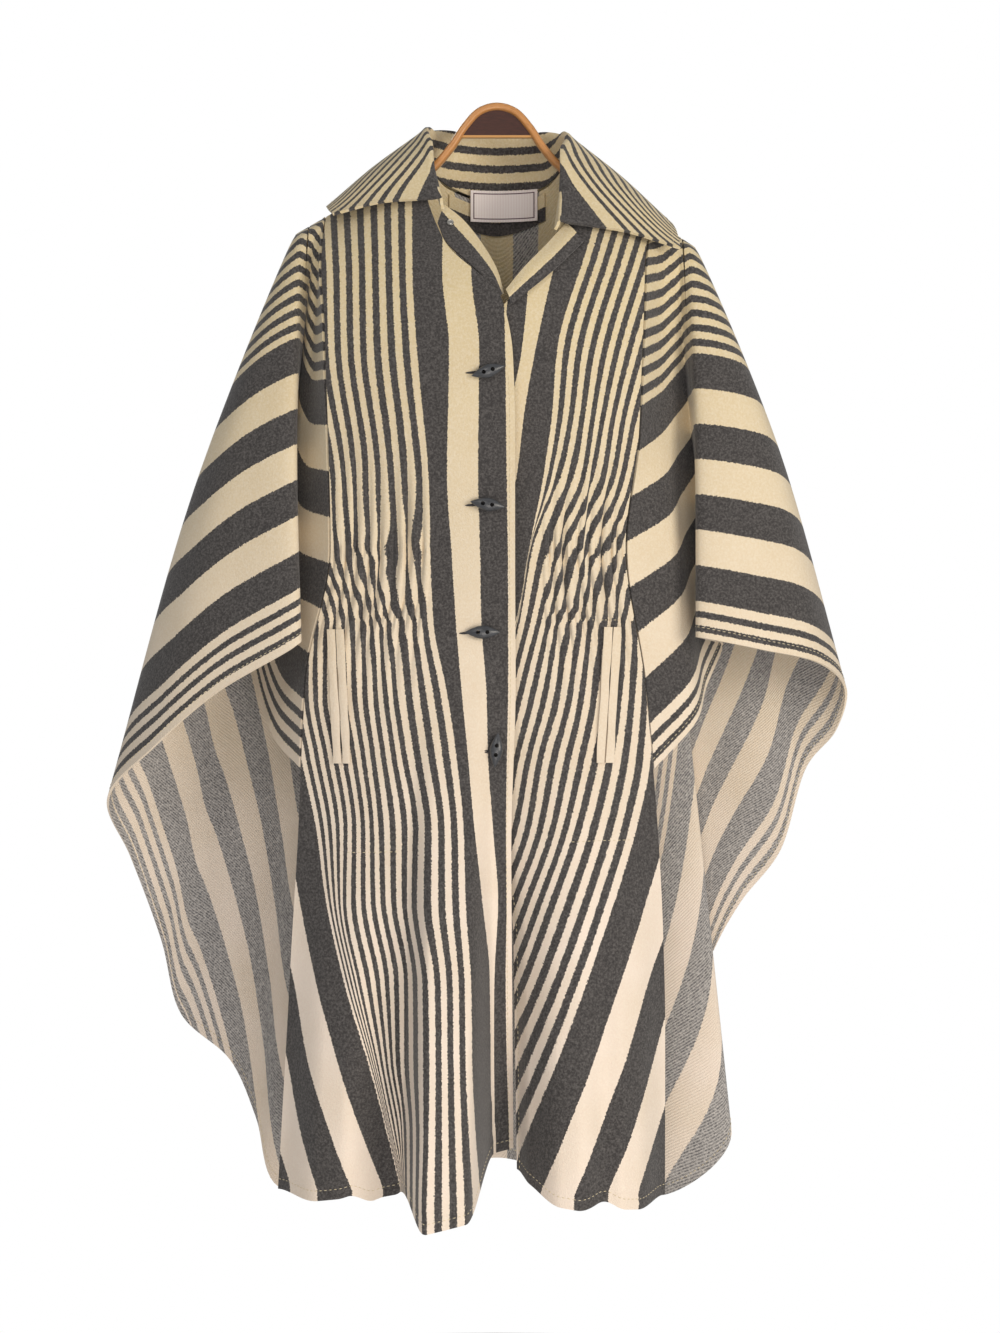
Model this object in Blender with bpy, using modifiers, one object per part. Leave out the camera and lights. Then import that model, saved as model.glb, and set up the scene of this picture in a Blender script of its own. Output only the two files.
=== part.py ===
"""A striped wool poncho hung on a bent-wood hanger, as cut and sewn cloth.

Sizes are in millimetres and become metres where a mesh is made. X runs to the wearer's left, Y to the
back and Z up. The origin is the middle of the lower edge of the hanger's panel. "out" is the distance
from the middle plane on either side, and "drop" the distance below the origin.
"""

import math

import bmesh
import bpy
import numpy as np
from mathutils import Vector

MM = 0.001
WALL = 2.4  # brushed wool cloth
COLLAR_WALL = 3.0  # two layers of it
SEAM = 0.3  # space left between pieces at a seam
SIDES = {"right": -1, "left": 1}  # the wearer's sides, and the sign of X on each
BACKWARD = np.array([0.0, 1.0, 0.0])


def table(columns, *rows):
    """A short table as one array for each named column."""
    arrays = {name: np.array([row[i] for row in rows]) for i, name in enumerate(columns.split())}
    return {name: a if a.dtype.kind == "U" else a.astype(float) for name, a in arrays.items()}


# The ridge is the line where the cloth rests on the hanger, from the neck to the shoulder tip.
RIDGE = {
    "right": {"neck_out": 76, "neck_drop": 26, "tip_out": 200, "tip_drop": 97},
    "left": {"neck_out": 72, "neck_drop": 28, "tip_out": 197, "tip_drop": 110},
}
RIDGE_HALF = 0.9  # from the middle of the ridge to each sheet's middle
ROLL = 19  # how far the cloth goes to the front or back as it turns down over the arm
TIP_ROLL = 6  # how far it goes outwards there, at the shoulder tip
ROLL_DROP = 11
NAPE_Y, NAPE_DROP, NAPE_ROLL = 60, 56, 2

# Each front, section by section: its inner edge (the neckline, then the opening) and its outer edge.
# swell is how far the middle of the section stands forward.
SECTION_COLUMNS = "section in_out in_y in_drop out_out out_y out_drop swell"
FRONT = {
    "right": table(
        SECTION_COLUMNS,
        ("ridge", 76, -0.9, 26, 170, -0.9, 79.8, 0),
        ("crown", 75, -18, 38, 170.5, -18, 91, 1),
        ("chest", 52, -61, 112, 172, -48, 132, 5),
        ("vee", -5, -86, 174, 168, -62, 190, 8),
        ("lap", -15.5, -94, 229, 166.5, -66, 235, 8),
        ("bust", -17.5, -98, 300, 164, -68, 300, 8),
        ("waist", -17.5, -99, 414, 161.5, -69, 414, 4),
        ("hip", -18, -100, 541, 185, -75, 541, 12),
        ("thigh", -13.6, -100, 705, 193, -78, 705, 22),
        ("shin", -14, -96, 790, 198, -78, 790, 27),
        ("knee", -14.6, -84, 880, 203, -75, 880, 32),
        ("hem", -15.6, -46, 1001, 213, -60, 1038, 40),
    ),
    "left": table(
        SECTION_COLUMNS,
        ("ridge", 72, -0.9, 28, 150, -0.9, 79.2, 0),
        ("crown", 71, -18, 40, 150, -18, 91, 1),
        ("chest", 57, -58, 112, 145, -48, 132, 5),
        ("vee", 24, -78, 158, 143, -60, 188, 6),
        ("lap", -2, -84, 197, 141, -64, 232, 6),
        ("bust", -4, -87, 292, 138, -66, 300, 8),
        ("waist", -4, -86, 412, 125, -66, 412, 4),
        ("hip", -4, -86, 541, 143, -71, 541, 14),
        ("thigh", 6, -86, 705, 157, -71, 705, 26),
        ("shin", 16.5, -86, 790, 161, -70, 790, 32),
        ("knee", 18, -92, 880, 163, -68, 880, 34),
        ("hem", 20, -98, 1021, 163, -65, 1043, 36),
    ),
}
# Folds of each front: where across it, half width, how much of that is its flat top, how far forward at
# the hem, where each starts and how much lower it makes the hem.
FOLD_COLUMNS = "fold share half flat depth start dip"
FOLDS = {
    "right": table(
        FOLD_COLUMNS,
        ("middle", 0.28, 0.20, 0.08, 72, 520, 48),
        ("between", 0.54, 0.16, 0.04, 0, 880, 19),
        ("side", 0.78, 0.24, 0.04, 26, 620, 10),
    ),
    "left": table(
        FOLD_COLUMNS,
        ("turned_edge", 0.0, 0.09, 0, -16, 640, -6),
        ("middle", 0.34, 0.32, 0.05, 20, 620, 14),
        ("side", 0.76, 0.24, 0.04, 16, 660, 10),
    ),
}
# Waist gathers: the shares of a section that they run between, how many, and the cells of the band
# inside them.
GATHERS = {
    "right": {"start": 0.44, "end": 0.995, "count": 8, "flat_cells": 15},
    "left": {"start": 0.35, "end": 0.995, "count": 7, "flat_cells": 10},
}
GATHER_DEPTH = 2.2
GATHER_DROP, GATHER_SPREAD = 442, 92

# Ribs of the cloth beside and behind the fronts, in order from the side of the front: each runs from the
# ridge to the hem. top_in is how far in from the shoulder tip it starts, face which way it first turns
# (-90 to the front, 0 outwards, 90 to the back), bow how far its middle stands out, fore how far that
# goes back, and cells the columns from it to the next.
RIB_COLUMNS = "rib top_in face hem_out hem_y hem_drop bow fore cells"
RIBS = {
    "right": table(
        RIB_COLUMNS,
        ("front_seam", 29.5, -90, 190, -74, 626, 0, 0, 2),
        ("inner_face", 26, -90, 219, -32, 600, -6, 0, 2),
        ("inner_turn", 22, -90, 238, 4, 556, -6, 0, 3),
        ("valley", 19, -88, 250, 30, 498, -8, 6, 2),
        ("overarm_seam", 13, -86, 220, -36, 503, -2, 2, 2),
        ("front_crest", 6, -78, 190, -100, 506, 6, 0, 3),
        ("outer_face", 4.6, -58, 271, -86, 554, 10, -4, 4),
        ("outer_side", 2.2, -30, 335, -60, 607, 14, -4, 4),
        ("tip", 0, 2, 389, 0, 662, 15, 0, 3),
        ("heel", 2.2, 34, 373, 50, 723, 12, 4, 3),
        ("selvage", 6, 56, 345, 74, 811, 8, 6, 2),
        ("low_selvage", 11, 68, 326, 86, 888, 4, 6, 2),
        ("corner", 20, 78, 276, 92, 936, 0, 6, 2),
        ("flank", 34, 86, 249, 94, 997, 0, 6, 2),
        ("side", 54, 90, 226, 88, 1066, 0, 4, 4),
        ("blade", 92, 90, 118, 122, 1058, 0, 8, 2),
        ("neck", 123, 90, 84, 118, 1054, 0, 6, 3),
        ("nape_side", 150, 90, 46, 112, 1049, 0, 6, 3),
        ("centre", 200, 90, 0, 120, 1042, 0, 6, 0),
    ),
    "left": table(
        RIB_COLUMNS,
        ("front_seam", 45.5, -90, 153, -71, 628, 0, 0, 3),
        ("inner_crest", 33, -90, 193, -62, 584, -14, 0, 3),
        ("inner_turn", 26, -90, 207, -24, 548, -10, 2, 2),
        ("valley", 19, -88, 226, 10, 508, -6, 6, 2),
        ("overarm_seam", 13, -86, 213, -34, 503, -2, 2, 2),
        ("front_crest", 6, -78, 195, -82, 500, 4, 0, 3),
        ("outer_face", 4.6, -58, 256, -76, 512, 12, -4, 4),
        ("outer_side", 2.2, -30, 318, -48, 526, 14, -4, 4),
        ("tip", 0, 2, 349, 0, 553, 13, 0, 3),
        ("heel", 2.2, 34, 342, 30, 594, 14, 4, 3),
        ("selvage", 6, 56, 316, 52, 630, 8, 6, 2),
        ("low_selvage", 11, 68, 290, 66, 718, 6, 6, 2),
        ("corner", 20, 78, 252, 80, 770, 2, 6, 2),
        ("flank", 34, 86, 226, 90, 818, 0, 6, 2),
        ("tuck", 46, 90, 196, 98, 900, 0, 6, 3),
        ("fold_crest", 58, 90, 238, 56, 1012, 0, 6, 3),
        ("side", 76, 90, 172, 66, 1070, 0, 6, 3),
        ("blade", 100, 90, 116, 118, 1058, 0, 8, 2),
        ("neck", 124, 90, 82, 118, 1054, 0, 6, 3),
        ("nape_side", 147, 90, 46, 112, 1049, 0, 6, 3),
        ("centre", 197, 90, 0, 120, 1042, 0, 6, 0),
    ),
}
# Shares of the way from ridge to hem at which a rib has a point. They are closest where it turns down.
RIB_ROWS = (0, 0.012, 0.028, 0.055, 0.1, 0.17, 0.26, 0.36, 0.47, 0.58, 0.7, 0.82, 0.92, 1)
FRONT_ROWS = (0, 0.006, 0.014, 0.028, 0.055, 0.1, 0.15, 0.21, 0.27, 0.32, 0.36, 0.4, 0.44, 0.49, 0.56,
              0.65, 0.75, 0.88, 1)

# The collar, station by station round the neck: seam, fold and outer edge.
COLLAR = table(
    "station seam_x seam_y seam_z fold_x fold_y fold_z edge_x edge_y edge_z cells",
    ("right_end", -53, -50, -80, -55, -54, -71, -161, -44, -84, 4),
    ("right_fore", -66, -20, -41, -65, -25, -14, -168, -26, -75, 3),
    ("right_side", -75, 3, -24, -69, 6, 10, -166, 4, -70, 4),
    ("right_back", -48, 46, -40.5, -46, 42, 13, -116, 76, -78, 4),
    ("nape", 0, 60, -52.8, 0, 52, 12, 0, 92, -88, 4),
    ("left_back", 46, 46, -41, 45, 42, 12, 120, 76, -84, 4),
    ("left_side", 71.5, 3, -24, 68, 6, 5, 168, 4, -83, 3),
    ("left_fore", 67, -20, -36, 64, -25, -18, 176, -26, -96, 4),
    ("left_end", 57, -62, -102, 61, -66, -96, 180, -47, -118, 0),
)
COLLAR_ROWS = 9

# Toggles on the right front: place on its face, how far each is turned from level and how far it stands
# off the cloth.
TOGGLES = table(
    "x drop turn lift",
    (-8.5, 244, 17, 0.1),
    (-8.5, 372, -9, 0.3),
    (-14, 495, 0, 0.3),
    (-2, 610, 84, 0.5),
)
TOGGLE_LENGTH, TOGGLE_HEIGHT, TOGGLE_DEPTH = 34, 13, 9
TOGGLE_HOLE, TOGGLE_HOLE_APART = 4, 9

# Pocket mouths: the line of each slit on its front.
POCKETS = {
    "right": {"top_x": -155, "top_drop": 492, "low_x": -148, "low_drop": 622},
    "left": {"top_x": 111, "top_drop": 492, "low_x": 103, "low_drop": 622},
}
WELT_WIDTH, WELT_SLIT = 7.4, 1.4

# The hanger: the middle line of its bent strip, from the top of the arch to the neck.
ARCH = table("out rise", (0, 31), (17.5, 26), (32, 11), (44, -7), (56, -22), (65, -31))
STRIP_HALF, STRIP_DEPTH_HALF = 4.0, 7.0
ARM_HALF, ARM_DEPTH_HALF = 6.0, 10.5
ARM_UNDER = 12.5  # from the ridge to the middle of the arm
ARM_END_IN = 15
PANEL_DEPTH = 6

LABEL = {"left_x": -27, "right_x": 41, "top_z": -43, "low_z": -75}
LABEL_WALL = 1.0


def smooth(at, knots, values):
    """A curve through a table's rows that doesn't swing past them."""
    at, knots, values = (np.asarray(item, float) for item in (at, knots, values))
    step = np.diff(knots)
    rise = np.diff(values) / step
    lean = np.zeros(len(knots))
    lean[0], lean[-1] = rise[0], rise[-1]
    for i in range(1, len(knots) - 1):
        if rise[i - 1] * rise[i] > 0:
            lean[i] = 2 / (1 / rise[i - 1] + 1 / rise[i])
    row = np.clip(np.searchsorted(knots, at, side="right") - 1, 0, len(step) - 1)
    s = np.clip((at - knots[row]) / step[row], 0, 1)
    return (
        values[row] * (1 + 2 * s) * (1 - s) ** 2
        + values[row + 1] * s * s * (3 - 2 * s)
        + step[row] * s * (1 - s) * (lean[row] * (1 - s) - lean[row + 1] * s)
    )


def ease(x):
    """0 before 0, 1 after 1 and a soft rise between."""
    x = np.clip(x, 0, 1)
    return x * x * (3 - 2 * x)


def through(points, cells):
    """A rounded curve through points, with a number of cells from each to the next.

    points is (count, ..., 3). The curve takes its turns by the root of the distance, so that it has no
    loops where points are close.
    """
    points = np.asarray(points, float)
    points = np.concatenate([2 * points[:1] - points[1:2], points, 2 * points[-1:] - points[-2:-1]])
    gap = np.sqrt(np.linalg.norm(np.diff(points, axis=0), axis=-1, keepdims=True)) + 1e-9
    rows = []
    for i, count in enumerate(cells):
        a, b, c, d = points[i:i + 4]
        before, here, after = gap[i:i + 3]
        leave = here * ((b - a) / before - (c - a) / (before + here) + (c - b) / here)
        arrive = here * ((c - b) / here - (d - b) / (here + after) + (d - c) / after)
        for k in range(int(count)):
            s = k / count
            rows.append(
                b * (1 + 2 * s) * (1 - s) ** 2 + c * s * s * (3 - 2 * s)
                + leave * s * (1 - s) ** 2 - arrive * s * s * (1 - s)
            )
    rows.append(points[-2])
    return np.array(rows)


def spaced(line, shares):
    """Points at shares of a line's length."""
    run = np.concatenate([[0], np.cumsum(np.linalg.norm(np.diff(line, axis=0), axis=1))])
    return np.stack([np.interp(np.asarray(shares) * run[-1], run, line[:, k]) for k in range(3)], axis=1)


def ridge_drop(side, out):
    r = RIDGE[side]
    slope = (r["tip_drop"] - r["neck_drop"]) / (r["tip_out"] - r["neck_out"])
    return r["neck_drop"] + slope * (out - r["neck_out"])


def top_of_rib(side, top_in, face):
    """The point where a rib starts: on the ridge or, nearer the middle, on the back of the neck."""
    r = RIDGE[side]
    out = r["tip_out"] - top_in
    if out >= r["neck_out"]:
        half = RIDGE_HALF * np.clip(face / 30, -1, 1)
        return np.array([out, half, -ridge_drop(side, out)])
    share = out / r["neck_out"]
    y = RIDGE_HALF + (NAPE_Y - RIDGE_HALF) * math.sqrt(1 - share ** 2)
    drop = NAPE_DROP + (r["neck_drop"] - NAPE_DROP) * share ** 2
    return np.array([out, y, -drop])


def rib(side, row):
    """One rib from ridge to hem, in its rows of points, with X still counted outwards."""
    ribs = RIBS[side]
    face = math.radians(ribs["face"][row])
    top = top_of_rib(side, ribs["top_in"][row], ribs["face"][row])
    hem = np.array([ribs["hem_out"][row], ribs["hem_y"][row], -ribs["hem_drop"][row]])
    on_ridge = abs(top[1]) <= RIDGE_HALF
    roll, tip_roll = (ROLL, TIP_ROLL) if on_ridge else (NAPE_ROLL, NAPE_ROLL)
    crown = top + (tip_roll * math.cos(face), roll * math.sin(face), -ROLL_DROP)
    middle = crown + (hem - crown) * 0.45 + (ribs["bow"][row], ribs["fore"][row], 0)
    return spaced(through([top, crown, middle, hem], (24, 24, 24)), RIB_ROWS)


def front_seam_rib(side):
    """The rib sewn to a front: it follows the front's outer edge, just outside and behind it."""
    front = FRONT[side]
    low = RIBS[side]["hem_drop"][0]
    drops = np.linspace(front["out_drop"][0], low, 60)
    out = smooth(drops, front["out_drop"], front["out_out"]) + 1.7
    y = smooth(drops, front["out_drop"], front["out_y"]) + 1.2 * ease((drops - drops[0]) / 40)
    return spaced(np.stack([out, y, -drops], axis=1), RIB_ROWS)


def side_ribs(side):
    ribs = [rib(side, row) for row in range(len(RIBS[side]["rib"]))]
    ribs[0] = front_seam_rib(side)
    sheet = np.array(ribs)
    sheet[..., 0] *= SIDES[side]
    return sheet


def rib_row(side, name):
    return list(RIBS[side]["rib"]).index(name)


def nudged(sheet):
    """A sheet with its first column moved along it for a seam's space, more where folds are tight."""
    lean = sheet[1] - sheet[0]
    length = np.linalg.norm(lean, axis=-1, keepdims=True)
    space = SEAM / 2 + 0.8 * (1 - ease(np.array(RIB_ROWS) / 0.4))
    sheet[0] += lean * np.minimum(space[:, None] / length, 0.6)
    return sheet


def wing_front_sheet(side):
    """The cloth from the side of a front to the seam over the arm."""
    last = rib_row(side, "overarm_seam")
    sheet = through(side_ribs(side)[:last + 1], RIBS[side]["cells"][:last])
    return nudged(sheet[::-1].copy())[::-1]


def back_sheet():
    """The back and both outer wings in one cloth, from one seam over the arm to the other."""
    ribs, cells = {}, {}
    for side in SIDES:
        first = rib_row(side, "overarm_seam")
        ribs[side] = side_ribs(side)[first:]
        cells[side] = list(RIBS[side]["cells"][first:-1])
    both = np.concatenate([ribs["right"], ribs["left"][-2::-1]])
    sheet = through(both, cells["right"] + cells["left"][::-1])
    behind = sheet[:, 3, 1] > ROLL / 2
    sheet[behind, 0, 1] = np.maximum(sheet[behind, 0, 1], RIDGE_HALF)
    sheet[behind, 1, 1] = np.maximum(sheet[behind, 1, 1], 4 * RIDGE_HALF)
    sheet = nudged(sheet)
    return nudged(sheet[::-1].copy())[::-1]


def gather_wave(side, c, drop):
    g = GATHERS[side]
    along = (c - g["start"]) / (g["end"] - g["start"])
    uneven = along + 0.012 * np.sin(9 * along) + 0.008 * np.sin(23 * along)
    edges = ease(along / 0.1) * ease((1 - along) / 0.06)
    level = np.exp(-(((drop - GATHER_DROP) / GATHER_SPREAD) ** 2))
    return GATHER_DEPTH * edges * level * np.cos(2 * math.pi * g["count"] * uneven)


def front_points(side, c, t, gathered=True):
    """Points of a front: c goes from the opening to the side, t from the ridge to the hem."""
    front, folds = FRONT[side], FOLDS[side]
    level = (front["in_drop"] + front["out_drop"]) / 2
    at = level[0] + (level[-1] - level[0]) * t
    inner = [smooth(at, level, front["in_" + name]) for name in ("out", "y", "drop")]
    outer = [smooth(at, level, front["out_" + name]) for name in ("out", "y", "drop")]
    out, y, drop = (a + (b - a) * c for a, b in zip(inner, outer))
    y = y - smooth(at, level, front["swell"]) * np.sin(math.pi * c)
    low = drop.copy()
    for i in range(len(folds["fold"])):
        past = np.abs(c - folds["share"][i]) - folds["flat"][i]
        near = np.clip(past / (folds["half"][i] - folds["flat"][i]), 0, 1)
        grown = ease((low - folds["start"][i]) / (1040 - folds["start"][i]))
        bump = grown * (0.5 + 0.5 * np.cos(math.pi * near))
        y = y - folds["depth"][i] * bump
        drop = drop + folds["dip"][i] * bump
    if gathered:
        y = y + gather_wave(side, c, drop)
    return np.stack([SIDES[side] * out, y, -drop], axis=-1)


def front_columns(side):
    """Shares across a front: four to each gather, fewer over the flat band beside the opening."""
    g = GATHERS[side]
    flat = np.linspace(0, g["start"], g["flat_cells"] + 1)[:-1]
    return np.concatenate([flat, np.linspace(g["start"], 1, 4 * g["count"] + 1)])


def front_sheet(side):
    c, t = np.meshgrid(front_columns(side), np.array(FRONT_ROWS), indexing="ij")
    return front_points(side, c, t)


def normals(sheet):
    """Unit normals of a sheet of points, turned to the front."""
    across, down = np.gradient(sheet, axis=0), np.gradient(sheet, axis=1)
    normal = np.cross(across, down)
    normal /= np.linalg.norm(normal, axis=-1, keepdims=True) + 1e-12
    return normal * np.where(normal[..., 1:2] > 0, -1, 1)


def on_front(side, x, drop, lift):
    """The point of a front's face nearest in X and Z, moved out by lift, and the normal there."""
    c, t = np.meshgrid(np.linspace(0, 1, 181), np.linspace(0, 1, 361), indexing="ij")
    sheet = front_points(side, c, t, gathered=False)
    off = (sheet[..., 0] - x) ** 2 + (sheet[..., 2] + drop) ** 2
    i, k = np.unravel_index(np.argmin(off), off.shape)
    normal = normals(sheet[max(i - 1, 0):i + 2, max(k - 1, 0):k + 2])
    normal = normal[min(i, 1), min(k, 1)]
    return sheet[i, k] + normal * lift, normal


def welt_sheet(side, offset):
    """One lip of a pocket mouth, laid on the front's points."""
    p = POCKETS[side]
    rows = []
    for across in (offset - WELT_WIDTH / 2, offset, offset + WELT_WIDTH / 2):
        line = []
        for share in np.linspace(0, 1, 9):
            x = p["top_x"] + (p["low_x"] - p["top_x"]) * share + across
            drop = p["top_drop"] + (p["low_drop"] - p["top_drop"]) * share
            crest = GATHER_DEPTH * math.exp(-(((drop - GATHER_DROP) / GATHER_SPREAD) ** 2))
            line.append(on_front(side, x, drop, WALL + SEAM + 0.5 + crest)[0])
        rows.append(line)
    return np.array(rows)


def laid(side, x, drop, lift):
    """A point at x and drop, as far forward as the front nearest to it and lift more."""
    return np.array([x, on_front(side, x, drop, 0)[0][1] - lift, -drop])


def facing_right_sheet():
    """The turned facing of the right front, from behind the edge of its neckline up to the neck."""
    edge = table(
        "edge_x edge_drop neck_x neck_drop lean",
        (-58, 94, -52, 74, 10),
        (-50, 113, -33, 90, 17),
        (-28, 135, -12, 119, 17),
        (-9, 155, 0, 143, 12),
        (2.5, 171, 6, 167, 6),
    )
    rows = []
    for x, drop, neck_x, neck_drop, lean in zip(*edge.values()):
        seam = laid("right", x, drop, -WALL - 1)
        neck = np.array([neck_x, seam[1] + lean, -neck_drop])
        rows.append([seam, (seam + neck) / 2 + (0, -2, 1), neck])
    return through(rows, (3, 3, 3, 3))


def facing_left_sheet():
    """The turned facing of the left front, lying over the edge of its neckline."""
    edge = table(
        "roll_x roll_drop low_x low_drop",
        (68, 94, 84, 114),
        (48, 118, 62, 137),
        (27, 141, 38, 159),
        (9, 164, 14, 178),
    )
    rows = []
    for roll_x, roll_drop, low_x, low_drop in zip(*edge.values()):
        roll = laid("left", roll_x, roll_drop, WALL + 0.6)
        low = laid("left", low_x, low_drop, WALL + 2.6)
        rows.append([roll, (roll + low) / 2 + (0, -2.5, 1), low])
    return through(rows, (4, 4, 4))


def facing_back_sheet():
    """The facing inside the back of the neck, made from the back's own points moved in."""
    sheet = back_sheet()
    middle = int(np.argmin(np.abs(sheet[:, 0, 0]) + (sheet[:, 0, 1] < 30) * 1000))
    part = sheet[middle - 3:middle + 4]
    shares = np.linspace(0.0, 1.0, 4)
    rows = []
    for column in part:
        z = column[0, 2] - 5 - shares * 27
        rows.append(np.stack([np.interp(-z, -column[:, 2], column[:, k]) for k in range(3)], axis=1))
    rows = np.array(rows)
    inward = normals(rows)
    return rows + inward * (WALL + SEAM)


def collar_sheet():
    """The collar from its seam up the stand, over the fold and down the fall."""
    seam, fold, edge = (
        np.stack([COLLAR[place + axis] for axis in ("_x", "_y", "_z")], axis=1)
        for place in ("seam", "fold", "edge")
    )
    up = np.array([0, 0, 1.0])
    outward = edge - fold
    outward /= np.linalg.norm(outward, axis=1, keepdims=True)
    stand = seam + (fold - seam) * 0.6
    over = fold + outward * 9 + up * 1.5
    fall = fold + (edge - fold) * 0.55 + up * 5
    across = np.stack([seam, stand, fold + up * 1.5, over, fall, edge], axis=0)
    lines = np.stack(
        [spaced(through(across[:, i], (6, 6, 6, 6, 6)), np.linspace(0, 1, COLLAR_ROWS))
         for i in range(across.shape[1])]
    )
    return through(lines, COLLAR["cells"][:-1])


def label_sheet():
    """The sewn-in label, bent to the curve of the neck just inside the collar and the facing."""
    x = np.linspace(LABEL["left_x"], LABEL["right_x"], 7)
    z = np.linspace(LABEL["top_z"], LABEL["low_z"], 4)
    x, z = np.meshgrid(x, z, indexing="ij")
    neck = RIDGE["left"]["neck_out"]
    y = NAPE_Y * np.sqrt(1 - (x / neck) ** 2) - 4.9 - 0.02 * np.abs(x)
    return np.stack([x, y, z], axis=-1)


def panel_sheet():
    """The D-shaped panel inside the arch, a flat plate up to the strip."""
    line = arch_line()
    x = np.linspace(-31, 31, 17)
    top = np.interp(np.abs(x), line[:, 0] - STRIP_HALF * 0.8, line[:, 2]) - STRIP_HALF * 1.06
    rows = np.linspace(0, 1, 4)
    return np.stack(
        [np.stack([np.full(4, a), np.zeros(4), rows * max(b, 2.0)], axis=1) for a, b in zip(x, top)]
    )


def arch_line():
    points = np.stack([ARCH["out"], np.zeros(len(ARCH["out"])), ARCH["rise"]], axis=1)
    return through(points, (4, 4, 4, 3, 3))


def hanger_rings():
    """Rings of the hanger's strip from the right arm's end, over the arch, to the left arm's end."""
    arms = {}
    for side, sign in SIDES.items():
        r = RIDGE[side]
        outs = np.linspace(r["neck_out"] + 4, r["tip_out"] - ARM_END_IN, 5)
        arms[side] = np.array([(sign * out, 0, -ridge_drop(side, out) - ARM_UNDER) for out in outs])
    arch = np.stack([ARCH["out"], np.zeros(len(ARCH["out"])), ARCH["rise"]], axis=1)
    left_arch = np.concatenate([arch, arms["left"]])
    right_arch = np.concatenate([arch * (-1, 1, 1), arms["right"]])
    path = np.concatenate([right_arch[::-1], left_arch[1:]])
    path = through(path, [1 if abs(x) > 70 else 2 for x in path[1:, 0]])
    lean = np.gradient(path, axis=0)
    lean /= np.linalg.norm(lean, axis=1, keepdims=True)
    across = np.stack([-lean[:, 2], np.zeros(len(path)), lean[:, 0]], axis=1)
    widen = ease((np.abs(path[:, 0]) - 60) / 40)
    half = STRIP_HALF + (ARM_HALF - STRIP_HALF) * widen
    depth = STRIP_DEPTH_HALF + (ARM_DEPTH_HALF - STRIP_DEPTH_HALF) * widen
    rings = []
    for angle in np.linspace(0, 2 * math.pi, 11):
        side_on = np.sign(math.cos(angle)) * abs(math.cos(angle)) ** 0.7
        deep = np.sign(math.sin(angle)) * abs(math.sin(angle)) ** 0.7
        sideways = across * (half * side_on)[:, None]
        rings.append(path + sideways + BACKWARD * (depth * deep)[:, None])
    return np.array(rings)


def material(name, colour):
    made = bpy.data.materials.new(name)
    made.use_nodes = True
    made.node_tree.nodes["Principled BSDF"].inputs["Base Color"].default_value = (*colour, 1)
    return made


def collection(name):
    made = bpy.data.collections.new(name)
    bpy.context.scene.collection.children.link(made)
    return made


def grid_mesh(name, points):
    """A Blender grid with its points moved to a sheet's."""
    across, down = points.shape[:2]
    bm = bmesh.new()
    bmesh.ops.create_grid(bm, x_segments=across - 1, y_segments=down - 1, size=1)
    for vert in bm.verts:
        i = round((vert.co.x + 1) / 2 * (across - 1))
        k = round((vert.co.y + 1) / 2 * (down - 1))
        vert.co = points[i, k] * MM
    return bm


def add_object(name, bm, where, look):
    mesh = bpy.data.meshes.new(name)
    bm.to_mesh(mesh)
    bm.free()
    made = bpy.data.objects.new(name, mesh)
    mesh.materials.append(look)
    where.objects.link(made)
    return made


def cloth(name, points, look, wall=WALL):
    """A sheet given its thickness, half to each side."""
    made = add_object(name, grid_mesh(name, points), PARTS, look)
    shell = made.modifiers.new("Wall", "SOLIDIFY")
    shell.thickness = wall * MM
    shell.offset = 0
    return made


def tube(name, rings, look):
    """A closed tube from a sheet whose first and last columns meet."""
    bm = grid_mesh(name, rings)
    bmesh.ops.remove_doubles(bm, verts=bm.verts, dist=1e-6)
    ends = [edge for edge in bm.edges if edge.is_boundary]
    bmesh.ops.holes_fill(bm, edges=ends)
    bmesh.ops.recalc_face_normals(bm, faces=bm.faces)
    return add_object(name, bm, PARTS, look)


def toggle(name, x, drop, turn, lift):
    """A boat-shaped toggle with two sewing holes, lying on the right front."""
    bm = bmesh.new()
    bmesh.ops.create_uvsphere(bm, u_segments=12, v_segments=8, radius=1)
    for vert in bm.verts:
        along = vert.co.z
        slim = (1 - abs(along) ** 1.7) / max(math.sqrt(1 - along ** 2), 1e-6) if abs(along) < 0.999 else 0
        vert.co = (
            along * TOGGLE_LENGTH / 2 * MM,
            vert.co.y * slim * TOGGLE_DEPTH / 2 * MM,
            vert.co.x * slim * TOGGLE_HEIGHT / 2 * MM,
        )
    bmesh.ops.recalc_face_normals(bm, faces=bm.faces)
    made = add_object(name, bm, PARTS, HORN)
    point, _ = on_front("right", x, drop, WALL / 2 + SEAM + lift + TOGGLE_DEPTH / 2)
    made.location = point * MM
    made.rotation_euler = (0, -math.radians(turn), 0)
    for sign in (-1, 1):
        cutter_mesh = bmesh.new()
        bmesh.ops.create_cone(
            cutter_mesh, cap_ends=True, segments=10, radius1=TOGGLE_HOLE / 2 * MM,
            radius2=TOGGLE_HOLE / 2 * MM, depth=3 * TOGGLE_DEPTH * MM,
        )
        cutter = add_object(f"{name}_hole_{'ab'[sign > 0]}", cutter_mesh, CUTTERS, HORN)
        cutter.rotation_euler = (math.radians(90), 0, 0)
        cutter.location = (sign * TOGGLE_HOLE_APART / 2 * MM, 0, 0)
        cutter.parent = made
        cutter.hide_render = True
        cutter.display_type = "WIRE"
        cut = made.modifiers.new("Hole", "BOOLEAN")
        cut.operation = "DIFFERENCE"
        cut.solver = "EXACT"
        cut.object = cutter
    return made


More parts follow.
